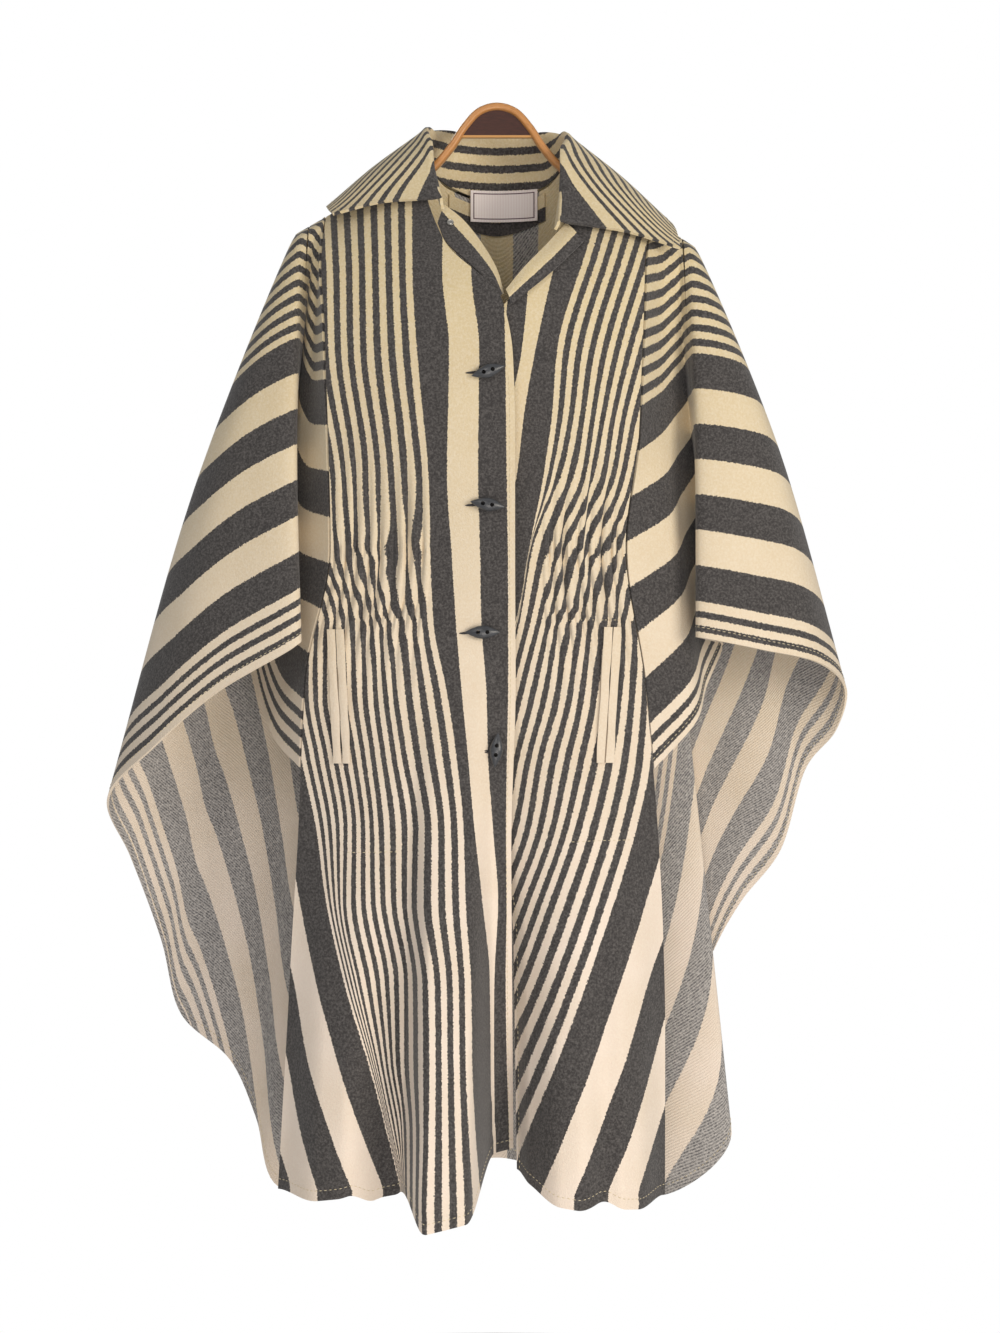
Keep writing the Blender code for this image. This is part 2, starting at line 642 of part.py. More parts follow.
def snap(name):
    """The small press stud on the right facing."""
    sheet = facing_right_sheet()
    point, normal = sheet[2, 1], normals(sheet)[2, 1]
    bm = bmesh.new()
    bmesh.ops.create_cone(bm, cap_ends=True, segments=16, radius1=3.4 * MM, radius2=2.4 * MM, depth=1.8 * MM)
    made = add_object(name, bm, PARTS, NICKEL)
    made.location = (point + normal * (WALL / 2 + SEAM + 1)) * MM
    made.rotation_euler = Vector(normal).to_track_quat("Z", "Y").to_euler()
    return made


for old in list(bpy.data.objects):
    bpy.data.objects.remove(old)
PARTS = collection("poncho")
CUTTERS = collection("cutters")
WOOL = material("striped_wool", (0.35, 0.3, 0.25))
HORN = material("toggle_horn", (0.06, 0.065, 0.07))
SATIN = material("label_satin", (0.8, 0.7, 0.7))
NICKEL = material("snap_nickel", (0.8, 0.8, 0.8))
LIGHT_WOOD = material("hanger_wood", (0.55, 0.26, 0.08))
DARK_WOOD = material("panel_wood", (0.05, 0.015, 0.01))

for wearer_side in SIDES:
    cloth(f"front_{wearer_side}", front_sheet(wearer_side), WOOL)
    cloth(f"wing_front_{wearer_side}", wing_front_sheet(wearer_side), WOOL)
    for lip, toward in (("outer", 1), ("inner", -1)):
        shift = toward * SIDES[wearer_side] * (WELT_WIDTH + WELT_SLIT) / 2
        cloth(f"welt_{wearer_side}_{lip}", welt_sheet(wearer_side, shift), WOOL)
cloth("back", back_sheet(), WOOL)
cloth("collar", collar_sheet(), WOOL, COLLAR_WALL)
cloth("facing_right", facing_right_sheet(), WOOL)
cloth("facing_left", facing_left_sheet(), WOOL)
cloth("facing_back", facing_back_sheet(), WOOL)
cloth("label", label_sheet(), SATIN, LABEL_WALL)
snap("neck_snap")
for number, row in enumerate(zip(*TOGGLES.values()), start=1):
    toggle(f"toggle_{number}", *row)
tube("hanger_frame", hanger_rings(), LIGHT_WOOD)
cloth("hanger_panel", panel_sheet(), DARK_WOOD, PANEL_DEPTH)
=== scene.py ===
# %% [markdown]
# # A striped wool poncho on its hanger
#
# The real object is a poncho of thick brushed wool, woven in cream and charcoal stripes. It is cut like
# a coat down the front, with a shirt collar, four toggles and two pockets, and like a cape at the sides,
# where the back's own cloth falls over the arms. The solids already have its shape and size. This lesson
# makes the cloth finer, weaves the stripes into it, sews it, and polishes the hanger.

# %% Load the frame
import math

import bpy
import numpy as np
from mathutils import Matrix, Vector


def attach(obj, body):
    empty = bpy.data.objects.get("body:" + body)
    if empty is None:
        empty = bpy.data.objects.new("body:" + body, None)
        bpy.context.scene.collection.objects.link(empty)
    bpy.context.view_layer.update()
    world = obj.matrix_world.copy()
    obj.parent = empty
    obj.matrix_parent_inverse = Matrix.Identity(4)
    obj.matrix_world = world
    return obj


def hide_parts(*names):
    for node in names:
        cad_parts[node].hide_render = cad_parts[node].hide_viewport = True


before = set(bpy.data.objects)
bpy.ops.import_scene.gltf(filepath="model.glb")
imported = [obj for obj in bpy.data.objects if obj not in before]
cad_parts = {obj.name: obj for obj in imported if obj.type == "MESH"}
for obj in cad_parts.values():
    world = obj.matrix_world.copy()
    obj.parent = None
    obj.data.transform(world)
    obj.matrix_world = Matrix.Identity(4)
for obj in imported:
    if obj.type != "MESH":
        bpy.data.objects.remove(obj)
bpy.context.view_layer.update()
MM, METRE = 0.001, 1000  # a millimetre in metres, and a metre in millimetres
print("solids:", len(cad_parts))

# %% [markdown]
# ## Small tools
#
# The drape is worked out from short tables, and these few functions turn a table into smooth lines. They
# could be replaced by a simulation, but a hung coat has folds in known places, and a formula keeps them
# where the photograph shows them.


# %% Curves through tables
def table(columns, *rows):
    """A short table as one array for each named column."""
    arrays = {name: np.array([row[i] for row in rows]) for i, name in enumerate(columns.split())}
    return {name: a if a.dtype.kind == "U" else a.astype(float) for name, a in arrays.items()}


def smooth(at, knots, values):
    """A curve through a table's rows that doesn't swing past them."""
    at, knots, values = (np.asarray(item, float) for item in (at, knots, values))
    step = np.diff(knots)
    rise = np.diff(values) / step
    lean = np.zeros(len(knots))
    lean[0], lean[-1] = rise[0], rise[-1]
    for i in range(1, len(knots) - 1):
        if rise[i - 1] * rise[i] > 0:
            lean[i] = 2 / (1 / rise[i - 1] + 1 / rise[i])
    row = np.clip(np.searchsorted(knots, at, side="right") - 1, 0, len(step) - 1)
    s = np.clip((at - knots[row]) / step[row], 0, 1)
    return (
        values[row] * (1 + 2 * s) * (1 - s) ** 2
        + values[row + 1] * s * s * (3 - 2 * s)
        + step[row] * s * (1 - s) * (lean[row] * (1 - s) - lean[row + 1] * s)
    )


def ease(x):
    """0 before 0, 1 after 1 and a soft rise between."""
    x = np.clip(x, 0, 1)
    return x * x * (3 - 2 * x)


def bell(x):
    """1 at 0, falling softly to nothing on both sides."""
    return np.exp(-(x ** 2))


def through(points, cells):
    """A rounded curve through points, with a number of cells from each to the next.

    points is (count, ..., 3). The curve takes its turns by the root of the distance, so that it has no
    loops where points are close.
    """
    points = np.asarray(points, float)
    points = np.concatenate([2 * points[:1] - points[1:2], points, 2 * points[-1:] - points[-2:-1]])
    gap = np.sqrt(np.linalg.norm(np.diff(points, axis=0), axis=-1, keepdims=True)) + 1e-9
    rows = []
    for i, count in enumerate(cells):
        a, b, c, d = points[i:i + 4]
        before, here, after = gap[i:i + 3]
        leave = here * ((b - a) / before - (c - a) / (before + here) + (c - b) / here)
        arrive = here * ((c - b) / here - (d - b) / (here + after) + (d - c) / after)
        for k in range(int(count)):
            s = k / count
            rows.append(
                b * (1 + 2 * s) * (1 - s) ** 2 + c * s * s * (3 - 2 * s)
                + leave * s * (1 - s) ** 2 - arrive * s * s * (1 - s)
            )
    rows.append(points[-2])
    return np.array(rows)


def spaced(line, shares):
    """Points at shares of a line's length."""
    run = np.concatenate([[0], np.cumsum(np.linalg.norm(np.diff(line, axis=0), axis=1))])
    return np.stack([np.interp(np.asarray(shares) * run[-1], run, line[:, k]) for k in range(3)], axis=1)


# %% [markdown]
# ## The cut and the drape
#
# These sizes are the ones that the solids were made from, in millimetres. X runs to the wearer's left, Y
# to the back and Z up; "out" is counted from the middle plane and "drop" down from the hanger's panel.
# Each front hangs from the shoulder ridge, section by section. The cloth beside and behind it hangs in
# ribs, lines that run from the ridge to the hem.

# %% The shoulder ridge and the two fronts
WALL = 2.4  # brushed wool cloth
COLLAR_WALL = 3.0  # two layers of it
SEAM = 0.3  # space left between pieces at a seam
SIDES = {"right": -1, "left": 1}  # the wearer's sides, and the sign of X on each
RIDGE = {
    "right": {"neck_out": 76, "neck_drop": 26, "tip_out": 200, "tip_drop": 97},
    "left": {"neck_out": 72, "neck_drop": 28, "tip_out": 197, "tip_drop": 110},
}
RIDGE_HALF = 0.9  # from the middle of the ridge to each sheet's middle
ROLL = 19  # how far the cloth goes to the front or back as it turns down over the arm
TIP_ROLL = 6  # how far it goes outwards there, at the shoulder tip
ROLL_DROP = 11
NAPE_Y, NAPE_DROP, NAPE_ROLL = 60, 56, 2
SECTION_COLUMNS = "section in_out in_y in_drop out_out out_y out_drop swell"
FRONT = {
    "right": table(
        SECTION_COLUMNS,
        ("ridge", 76, -0.9, 26, 170, -0.9, 79.8, 0),
        ("crown", 75, -18, 38, 170.5, -18, 91, 1),
        ("chest", 52, -61, 112, 172, -48, 132, 5),
        ("vee", -5, -86, 174, 168, -62, 190, 8),
        ("lap", -15.5, -94, 229, 166.5, -66, 235, 8),
        ("bust", -17.5, -98, 300, 164, -68, 300, 8),
        ("waist", -17.5, -99, 414, 161.5, -69, 414, 4),
        ("hip", -18, -100, 541, 185, -75, 541, 12),
        ("thigh", -13.6, -100, 705, 193, -78, 705, 22),
        ("shin", -14, -96, 790, 198, -78, 790, 27),
        ("knee", -14.6, -84, 880, 203, -75, 880, 32),
        ("hem", -15.6, -46, 1001, 213, -60, 1038, 40),
    ),
    "left": table(
        SECTION_COLUMNS,
        ("ridge", 72, -0.9, 28, 150, -0.9, 79.2, 0),
        ("crown", 71, -18, 40, 150, -18, 91, 1),
        ("chest", 57, -58, 112, 145, -48, 132, 5),
        ("vee", 24, -78, 158, 143, -60, 188, 6),
        ("lap", -2, -84, 197, 141, -64, 232, 6),
        ("bust", -4, -87, 292, 138, -66, 300, 8),
        ("waist", -4, -86, 412, 125, -66, 412, 4),
        ("hip", -4, -86, 541, 143, -71, 541, 14),
        ("thigh", 6, -86, 705, 157, -71, 705, 26),
        ("shin", 16.5, -86, 790, 161, -70, 790, 32),
        ("knee", 18, -92, 880, 163, -68, 880, 34),
        ("hem", 20, -98, 1021, 163, -65, 1043, 36),
    ),
}
print("front sections:", len(FRONT["right"]["section"]))

# %% [markdown]
# Below the waist the fronts fall in a few wide folds, and at the waist elastic thread draws them into small
# gathers. A cloth simulation would find folds too, but not these ones. A table that says where each fold
# starts and how deep it grows keeps them as they hang here.

# %% Folds and waist gathers of the fronts
# Folds of each front: where across it, half width, how much of that is its flat top, how far forward at
# the hem, where each starts and how much lower it makes the hem.
FOLD_COLUMNS = "fold share half flat depth start dip"
FOLDS = {
    "right": table(
        FOLD_COLUMNS,
        ("middle", 0.28, 0.20, 0.08, 72, 520, 48),
        ("between", 0.54, 0.16, 0.04, 0, 880, 19),
        ("side", 0.78, 0.24, 0.04, 26, 620, 10),
    ),
    "left": table(
        FOLD_COLUMNS,
        ("turned_edge", 0.0, 0.09, 0, -16, 640, -6),
        ("middle", 0.34, 0.32, 0.05, 20, 620, 14),
        ("side", 0.76, 0.24, 0.04, 16, 660, 10),
    ),
}
HEM_DROP = 1040  # where the folds are fully grown
# Waist gathers: the shares of a section that they run between, and how many.
GATHERS = {
    "right": {"start": 0.44, "end": 0.995, "count": 8},
    "left": {"start": 0.35, "end": 0.995, "count": 7},
}
GATHER_DEPTH = 2.2
GATHER_DROP, GATHER_SPREAD = 442, 92
print("gathers:", sum(g["count"] for g in GATHERS.values()))

# %% [markdown]
# The wings and the back hang free from the shoulder. A rib is the line that one strand of that cloth takes
# from the ridge to the hem. A few ribs on each side, joined by a smooth sheet, give the wide wing, its fold
# under the arm and the straight back.

# %% Ribs of the wings and the back
# Ribs of the cloth beside and behind the fronts, in order from the side of the front: each runs from the
# ridge to the hem. top_in is how far in from the shoulder tip it starts, face which way it first turns
# (-90 to the front, 0 outwards, 90 to the back), bow how far its middle stands out, fore how far that
# goes back, and cells the columns from it to the next.
RIB_COLUMNS = "rib top_in face hem_out hem_y hem_drop bow fore cells"
RIBS = {
    "right": table(
        RIB_COLUMNS,
        ("front_seam", 29.5, -90, 190, -74, 626, 0, 0, 2),
        ("inner_face", 26, -90, 219, -32, 600, -6, 0, 2),
        ("inner_turn", 22, -90, 238, 4, 556, -6, 0, 3),
        ("valley", 19, -88, 250, 30, 498, -8, 6, 2),
        ("overarm_seam", 13, -86, 220, -36, 503, -2, 2, 2),
        ("front_crest", 6, -78, 190, -100, 506, 6, 0, 3),
        ("outer_face", 4.6, -58, 271, -86, 554, 10, -4, 4),
        ("outer_side", 2.2, -30, 335, -60, 607, 14, -4, 4),
        ("tip", 0, 2, 389, 0, 662, 15, 0, 3),
        ("heel", 2.2, 34, 373, 50, 723, 12, 4, 3),
        ("selvage", 6, 56, 345, 74, 811, 8, 6, 2),
        ("low_selvage", 11, 68, 326, 86, 888, 4, 6, 2),
        ("corner", 20, 78, 276, 92, 936, 0, 6, 2),
        ("flank", 34, 86, 249, 94, 997, 0, 6, 2),
        ("side", 54, 90, 226, 88, 1066, 0, 4, 4),
        ("blade", 92, 90, 118, 122, 1058, 0, 8, 2),
        ("neck", 123, 90, 84, 118, 1054, 0, 6, 3),
        ("nape_side", 150, 90, 46, 112, 1049, 0, 6, 3),
        ("centre", 200, 90, 0, 120, 1042, 0, 6, 0),
    ),
    "left": table(
        RIB_COLUMNS,
        ("front_seam", 45.5, -90, 153, -71, 628, 0, 0, 3),
        ("inner_crest", 33, -90, 193, -62, 584, -14, 0, 3),
        ("inner_turn", 26, -90, 207, -24, 548, -10, 2, 2),
        ("valley", 19, -88, 226, 10, 508, -6, 6, 2),
        ("overarm_seam", 13, -86, 213, -34, 503, -2, 2, 2),
        ("front_crest", 6, -78, 195, -82, 500, 4, 0, 3),
        ("outer_face", 4.6, -58, 256, -76, 512, 12, -4, 4),
        ("outer_side", 2.2, -30, 318, -48, 526, 14, -4, 4),
        ("tip", 0, 2, 349, 0, 553, 13, 0, 3),
        ("heel", 2.2, 34, 342, 30, 594, 14, 4, 3),
        ("selvage", 6, 56, 316, 52, 630, 8, 6, 2),
        ("low_selvage", 11, 68, 290, 66, 718, 6, 6, 2),
        ("corner", 20, 78, 252, 80, 770, 2, 6, 2),
        ("flank", 34, 86, 226, 90, 818, 0, 6, 2),
        ("tuck", 46, 90, 196, 98, 900, 0, 6, 3),
        ("fold_crest", 58, 90, 238, 56, 1012, 0, 6, 3),
        ("side", 76, 90, 172, 66, 1070, 0, 6, 3),
        ("blade", 100, 90, 116, 118, 1058, 0, 8, 2),
        ("neck", 124, 90, 82, 118, 1054, 0, 6, 3),
        ("nape_side", 147, 90, 46, 112, 1049, 0, 6, 3),
        ("centre", 197, 90, 0, 120, 1042, 0, 6, 0),
    ),
}
# Shares of the way from ridge to hem at which a rib has a point. They are closest where it turns down.
RIB_ROWS = (0, 0.012, 0.028, 0.055, 0.1, 0.17, 0.26, 0.36, 0.47, 0.58, 0.7, 0.82, 0.92, 1)
FINER = 5  # cells of the scene's cloth for each cell of the solid
FINE_ROWS = np.interp(np.arange((len(RIB_ROWS) - 1) * FINER + 1) / FINER, np.arange(len(RIB_ROWS)), RIB_ROWS)
print("rows along a rib:", len(FINE_ROWS))


# %% [markdown]
# A rib starts on the ridge, rolls over it and then falls to the hem in one bow. Four points and a curve
# through them are enough for that.

# %% Draping the ribs
RIDGE_TURN = 30  # the turn, in degrees, at which a rib is wholly on the front or the back of the ridge
RIB_BOW_AT, RIB_CELLS = 0.45, (24, 24, 24)  # where a rib bows out most, and the cells that it is drawn with
SEAM_POINTS = 60
SEAM_OUT, SEAM_BEHIND = 1.7, 1.2  # how far the rib sewn to a front lies outside and behind its edge
SEAM_START = 40  # the drop over which it goes behind


def ridge_drop(side, out):
    r = RIDGE[side]
    slope = (r["tip_drop"] - r["neck_drop"]) / (r["tip_out"] - r["neck_out"])
    return r["neck_drop"] + slope * (out - r["neck_out"])


def top_of_rib(side, top_in, face):
    """The point where a rib starts: on the ridge or, nearer the middle, on the back of the neck."""
    r = RIDGE[side]
    out = r["tip_out"] - top_in
    if out >= r["neck_out"]:
        half = RIDGE_HALF * np.clip(face / RIDGE_TURN, -1, 1)
        return np.array([out, half, -ridge_drop(side, out)])
    share = out / r["neck_out"]
    y = RIDGE_HALF + (NAPE_Y - RIDGE_HALF) * math.sqrt(1 - share ** 2)
    drop = NAPE_DROP + (r["neck_drop"] - NAPE_DROP) * share ** 2
    return np.array([out, y, -drop])


def rib(side, row):
    """One rib from ridge to hem, in its rows of points, with X still counted outwards."""
    ribs = RIBS[side]
    face = math.radians(ribs["face"][row])
    top = top_of_rib(side, ribs["top_in"][row], ribs["face"][row])
    hem = np.array([ribs["hem_out"][row], ribs["hem_y"][row], -ribs["hem_drop"][row]])
    on_ridge = abs(top[1]) <= RIDGE_HALF
    roll, tip_roll = (ROLL, TIP_ROLL) if on_ridge else (NAPE_ROLL, NAPE_ROLL)
    crown = top + (tip_roll * math.cos(face), roll * math.sin(face), -ROLL_DROP)
    middle = crown + (hem - crown) * RIB_BOW_AT + (ribs["bow"][row], ribs["fore"][row], 0)
    return spaced(through([top, crown, middle, hem], RIB_CELLS), FINE_ROWS)


def front_seam_rib(side):
    """The rib sewn to a front: it follows the front's outer edge, just outside and behind it."""
    front = FRONT[side]
    low = RIBS[side]["hem_drop"][0]
    drops = np.linspace(front["out_drop"][0], low, SEAM_POINTS)
    out = smooth(drops, front["out_drop"], front["out_out"]) + SEAM_OUT
    behind = SEAM_BEHIND * ease((drops - drops[0]) / SEAM_START)
    y = smooth(drops, front["out_drop"], front["out_y"]) + behind
    return spaced(np.stack([out, y, -drops], axis=1), FINE_ROWS)


def side_ribs(side):
    ribs = [rib(side, row) for row in range(len(RIBS[side]["rib"]))]
    ribs[0] = front_seam_rib(side)
    sheet = np.array(ribs)
    sheet[..., 0] *= SIDES[side]
    return sheet


def rib_row(side, name):
    return list(RIBS[side]["rib"]).index(name)


print("ribs:", {side: len(side_ribs(side)) for side in SIDES})


# %% [markdown]
# Neighbouring pieces must not touch, or the renderer shows specks where they meet. At a seam the last
# few columns of a sheet are drawn back from its edge, most at the tight fold under the shoulder.


# %% Sheets of the wings and the back
SEAM_REACH, SEAM_COLUMNS = 9, 4 * FINER  # how much of a sheet is drawn back at a seam
SHOULDER_SPACE, SHOULDER_SHARE = 0.8, 0.4  # the space added under the shoulder, and what it fades over
# Behind the ridge the first rows of the back stay clear of the fronts, each by more than the one above.
NECK_ROWS, ROLL_ROW, NECK_GROWTH = 2 * FINER, 3 * FINER, 3


def drawn_back(sheet):
    """A sheet with the columns at its start moved along it, to leave space at a seam."""
    run = np.linalg.norm(np.diff(sheet, axis=0), axis=-1).cumsum(axis=0)
    lean = sheet[FINER] - sheet[0]
    lean /= np.linalg.norm(lean, axis=-1, keepdims=True)
    space = SEAM / 2 + SHOULDER_SPACE * (1 - ease(FINE_ROWS / SHOULDER_SHARE))
    moved = sheet.copy()
    moved[0] += lean * space[:, None]
    for column in range(1, SEAM_COLUMNS):
        left = np.clip(1 - run[column - 1] / SEAM_REACH, 0, 1)
        moved[column] += lean * (space * left)[:, None]
    return moved


def wing_front_sheet(side):
    """The cloth from the side of a front to the seam over the arm."""
    last = rib_row(side, "overarm_seam")
    cells = [count * FINER for count in RIBS[side]["cells"][:last]]
    return drawn_back(through(side_ribs(side)[:last + 1], cells)[::-1])[::-1]


def back_sheet():
    """The back and both outer wings in one cloth, from one seam over the arm to the other."""
    ribs, cells = {}, {}
    for side in SIDES:
        first = rib_row(side, "overarm_seam")
        ribs[side] = side_ribs(side)[first:]
        cells[side] = [count * FINER for count in RIBS[side]["cells"][first:-1]]
    both = np.concatenate([ribs["right"], ribs["left"][-2::-1]])
    sheet = through(both, cells["right"] + cells["left"][::-1])
    behind = sheet[:, ROLL_ROW, 1] > ROLL / 2
    least = RIDGE_HALF * (1 + NECK_GROWTH * np.arange(NECK_ROWS) / FINER)
    sheet[behind, :NECK_ROWS, 1] = np.maximum(sheet[behind, :NECK_ROWS, 1], least)
    return drawn_back(drawn_back(sheet)[::-1])[::-1]


print("back sheet:", back_sheet().shape[:2])


# %% [markdown]
# A front is one sheet. Its sections give the two edges at every height, and the folds and gathers are added
# to it as waves.

# %% Sheets of the fronts
GATHER_FADES = (0.1, 0.06)  # the shares of the gathered band that fade at its two ends
UNEVEN = ((0.012, 9), (0.008, 23))  # waves that space the gathers unevenly: how far, and how often


def gathered_band(side, c, fades):
    """How far along the gathered band a place is, and how much of the gathers it has."""
    g = GATHERS[side]
    along = (c - g["start"]) / (g["end"] - g["start"])
    return along, ease(along / fades[0]) * ease((1 - along) / fades[1])


def gather_wave(side, c, drop):
    along, edges = gathered_band(side, c, GATHER_FADES)
    uneven = along
    for shift, turns in UNEVEN:
        uneven = uneven + shift * np.sin(turns * along)
    level = bell((drop - GATHER_DROP) / GATHER_SPREAD)
    return GATHER_DEPTH * edges * level * np.cos(2 * math.pi * GATHERS[side]["count"] * uneven)


def front_points(side, c, t, gathered=True):
    """Points of a front: c goes from the opening to the side, t from the ridge to the hem."""
    front, folds = FRONT[side], FOLDS[side]
    level = (front["in_drop"] + front["out_drop"]) / 2
    at = level[0] + (level[-1] - level[0]) * t
    inner = [smooth(at, level, front["in_" + name]) for name in ("out", "y", "drop")]
    outer = [smooth(at, level, front["out_" + name]) for name in ("out", "y", "drop")]
    out, y, drop = (a + (b - a) * c for a, b in zip(inner, outer))
    y = y - smooth(at, level, front["swell"]) * np.sin(math.pi * c)
    low = drop.copy()
    for i in range(len(folds["fold"])):
        past = np.abs(c - folds["share"][i]) - folds["flat"][i]
        near = np.clip(past / (folds["half"][i] - folds["flat"][i]), 0, 1)
        grown = ease((low - folds["start"][i]) / (HEM_DROP - folds["start"][i]))
        bump = grown * (0.5 + 0.5 * np.cos(math.pi * near))
        y = y - folds["depth"][i] * bump
        drop = drop + folds["dip"][i] * bump
    if gathered:
        y = y + gather_wave(side, c, drop)
    return np.stack([SIDES[side] * out, y, -drop], axis=-1)


print("front at the shoulder, middle and hem:", front_points("right", *np.meshgrid(0.5, (0, 0.5, 1)))[:, 0])

# %% [markdown]
# The rows of elastic thread pull small puckers into the waist, and a few deeper tucks between them. They are
# too small for the solids, so they are made only here, on a fine grid.

# %% Puckers and tucks of the waist
FRONT_COLUMNS, FRONT_LINES = 160, 250  # cells across and down each front
SHOULDER_CROWDING = 1.35  # how much closer the rows of cells are at the shoulder
ELASTIC_DROPS = (417, 482)  # rows of elastic thread sewn behind the waist
POCKETS = {
    "right": {"top_x": -155, "top_drop": 492, "low_x": -148, "low_drop": 622},
    "left": {"top_x": 111, "top_drop": 492, "low_x": 103, "low_drop": 622},
}
PUCKER, PUCKER_SPREAD, PUCKER_FADES = 1.4, 16, (0.12, 0.05)
# How near to a pocket mouth the puckers stop, beside and above it, and the way over which they fade.
MOUTH_BESIDE, MOUTH_BESIDE_FADE, MOUTH_ABOVE, MOUTH_ABOVE_FADE = 12, 10, 14, 20
# Tucks that the elastic pulls into the waist: where across the front, how far down, half of how long, and
# how much cloth each hides.
TUCK_COLUMNS = "share drop half hides"
TUCKS = {
    "right": table(TUCK_COLUMNS, (0.58, 404, 38, 5), (0.74, 424, 44, 7), (0.88, 408, 40, 6)),
    "left": table(
        TUCK_COLUMNS, (0.52, 426, 40, 5), (0.69, 386, 52, 9), (0.82, 420, 44, 8), (0.93, 412, 34, 5)
    ),
}
TUCK_DENT, TUCK_HALF = 2.6, 0.014


def puckers(side, c, points):
    """Small tight folds where elastic thread draws the waist in, left out under the pocket mouths."""
    pocket, count = POCKETS[side], 2 * GATHERS[side]["count"] + 1
    along, inside = gathered_band(side, c, PUCKER_FADES)
    beside = ease((np.abs(points[..., 0] - pocket["top_x"]) - MOUTH_BESIDE) / MOUTH_BESIDE_FADE)
    above = ease((pocket["top_drop"] - MOUTH_ABOVE + points[..., 2]) / MOUTH_ABOVE_FADE)
    total = 0
    for row in ELASTIC_DROPS:
        level = bell((-points[..., 2] - row) / PUCKER_SPREAD)
        total = total + PUCKER * level * np.cos(2 * math.pi * count * along + row)
    total = inside * np.maximum(beside, above) * total
    for share, drop, half, _ in zip(*TUCKS[side].values()):
        level = bell((-points[..., 2] - drop) / half)
        total = total + TUCK_DENT * level * bell((c - share) / TUCK_HALF)
    return total


def front_shares():
    """Shares across and down a front, closest over the shoulder, where the cloth turns most."""
    across = np.linspace(0, 1, FRONT_COLUMNS + 1)
    down = np.linspace(0, 1, FRONT_LINES + 1) ** SHOULDER_CROWDING
    return np.meshgrid(across, down, indexing="ij")


def front_sheet(side):
    c, t = front_shares()
    points = front_points(side, c, t)
    points[..., 1] += puckers(side, c, points)
    return points


print("front sheet:", front_sheet("right").shape[:2])

# %% [markdown]
# ## The stripes
#
# The cloth was woven as one long striped length, the stripes running down the middle and, where the cloth
# falls sideways over an arm, along the hem of the wing. A stripe therefore belongs to a thread, not to a
# place in space. Every point of the cloth gets a thread number, its distance in millimetres from the
# middle thread, and keeps it in its UV map. On the fronts the table says where some threads run at each
# height. On the wings and the back, the thread number grows along each rib.

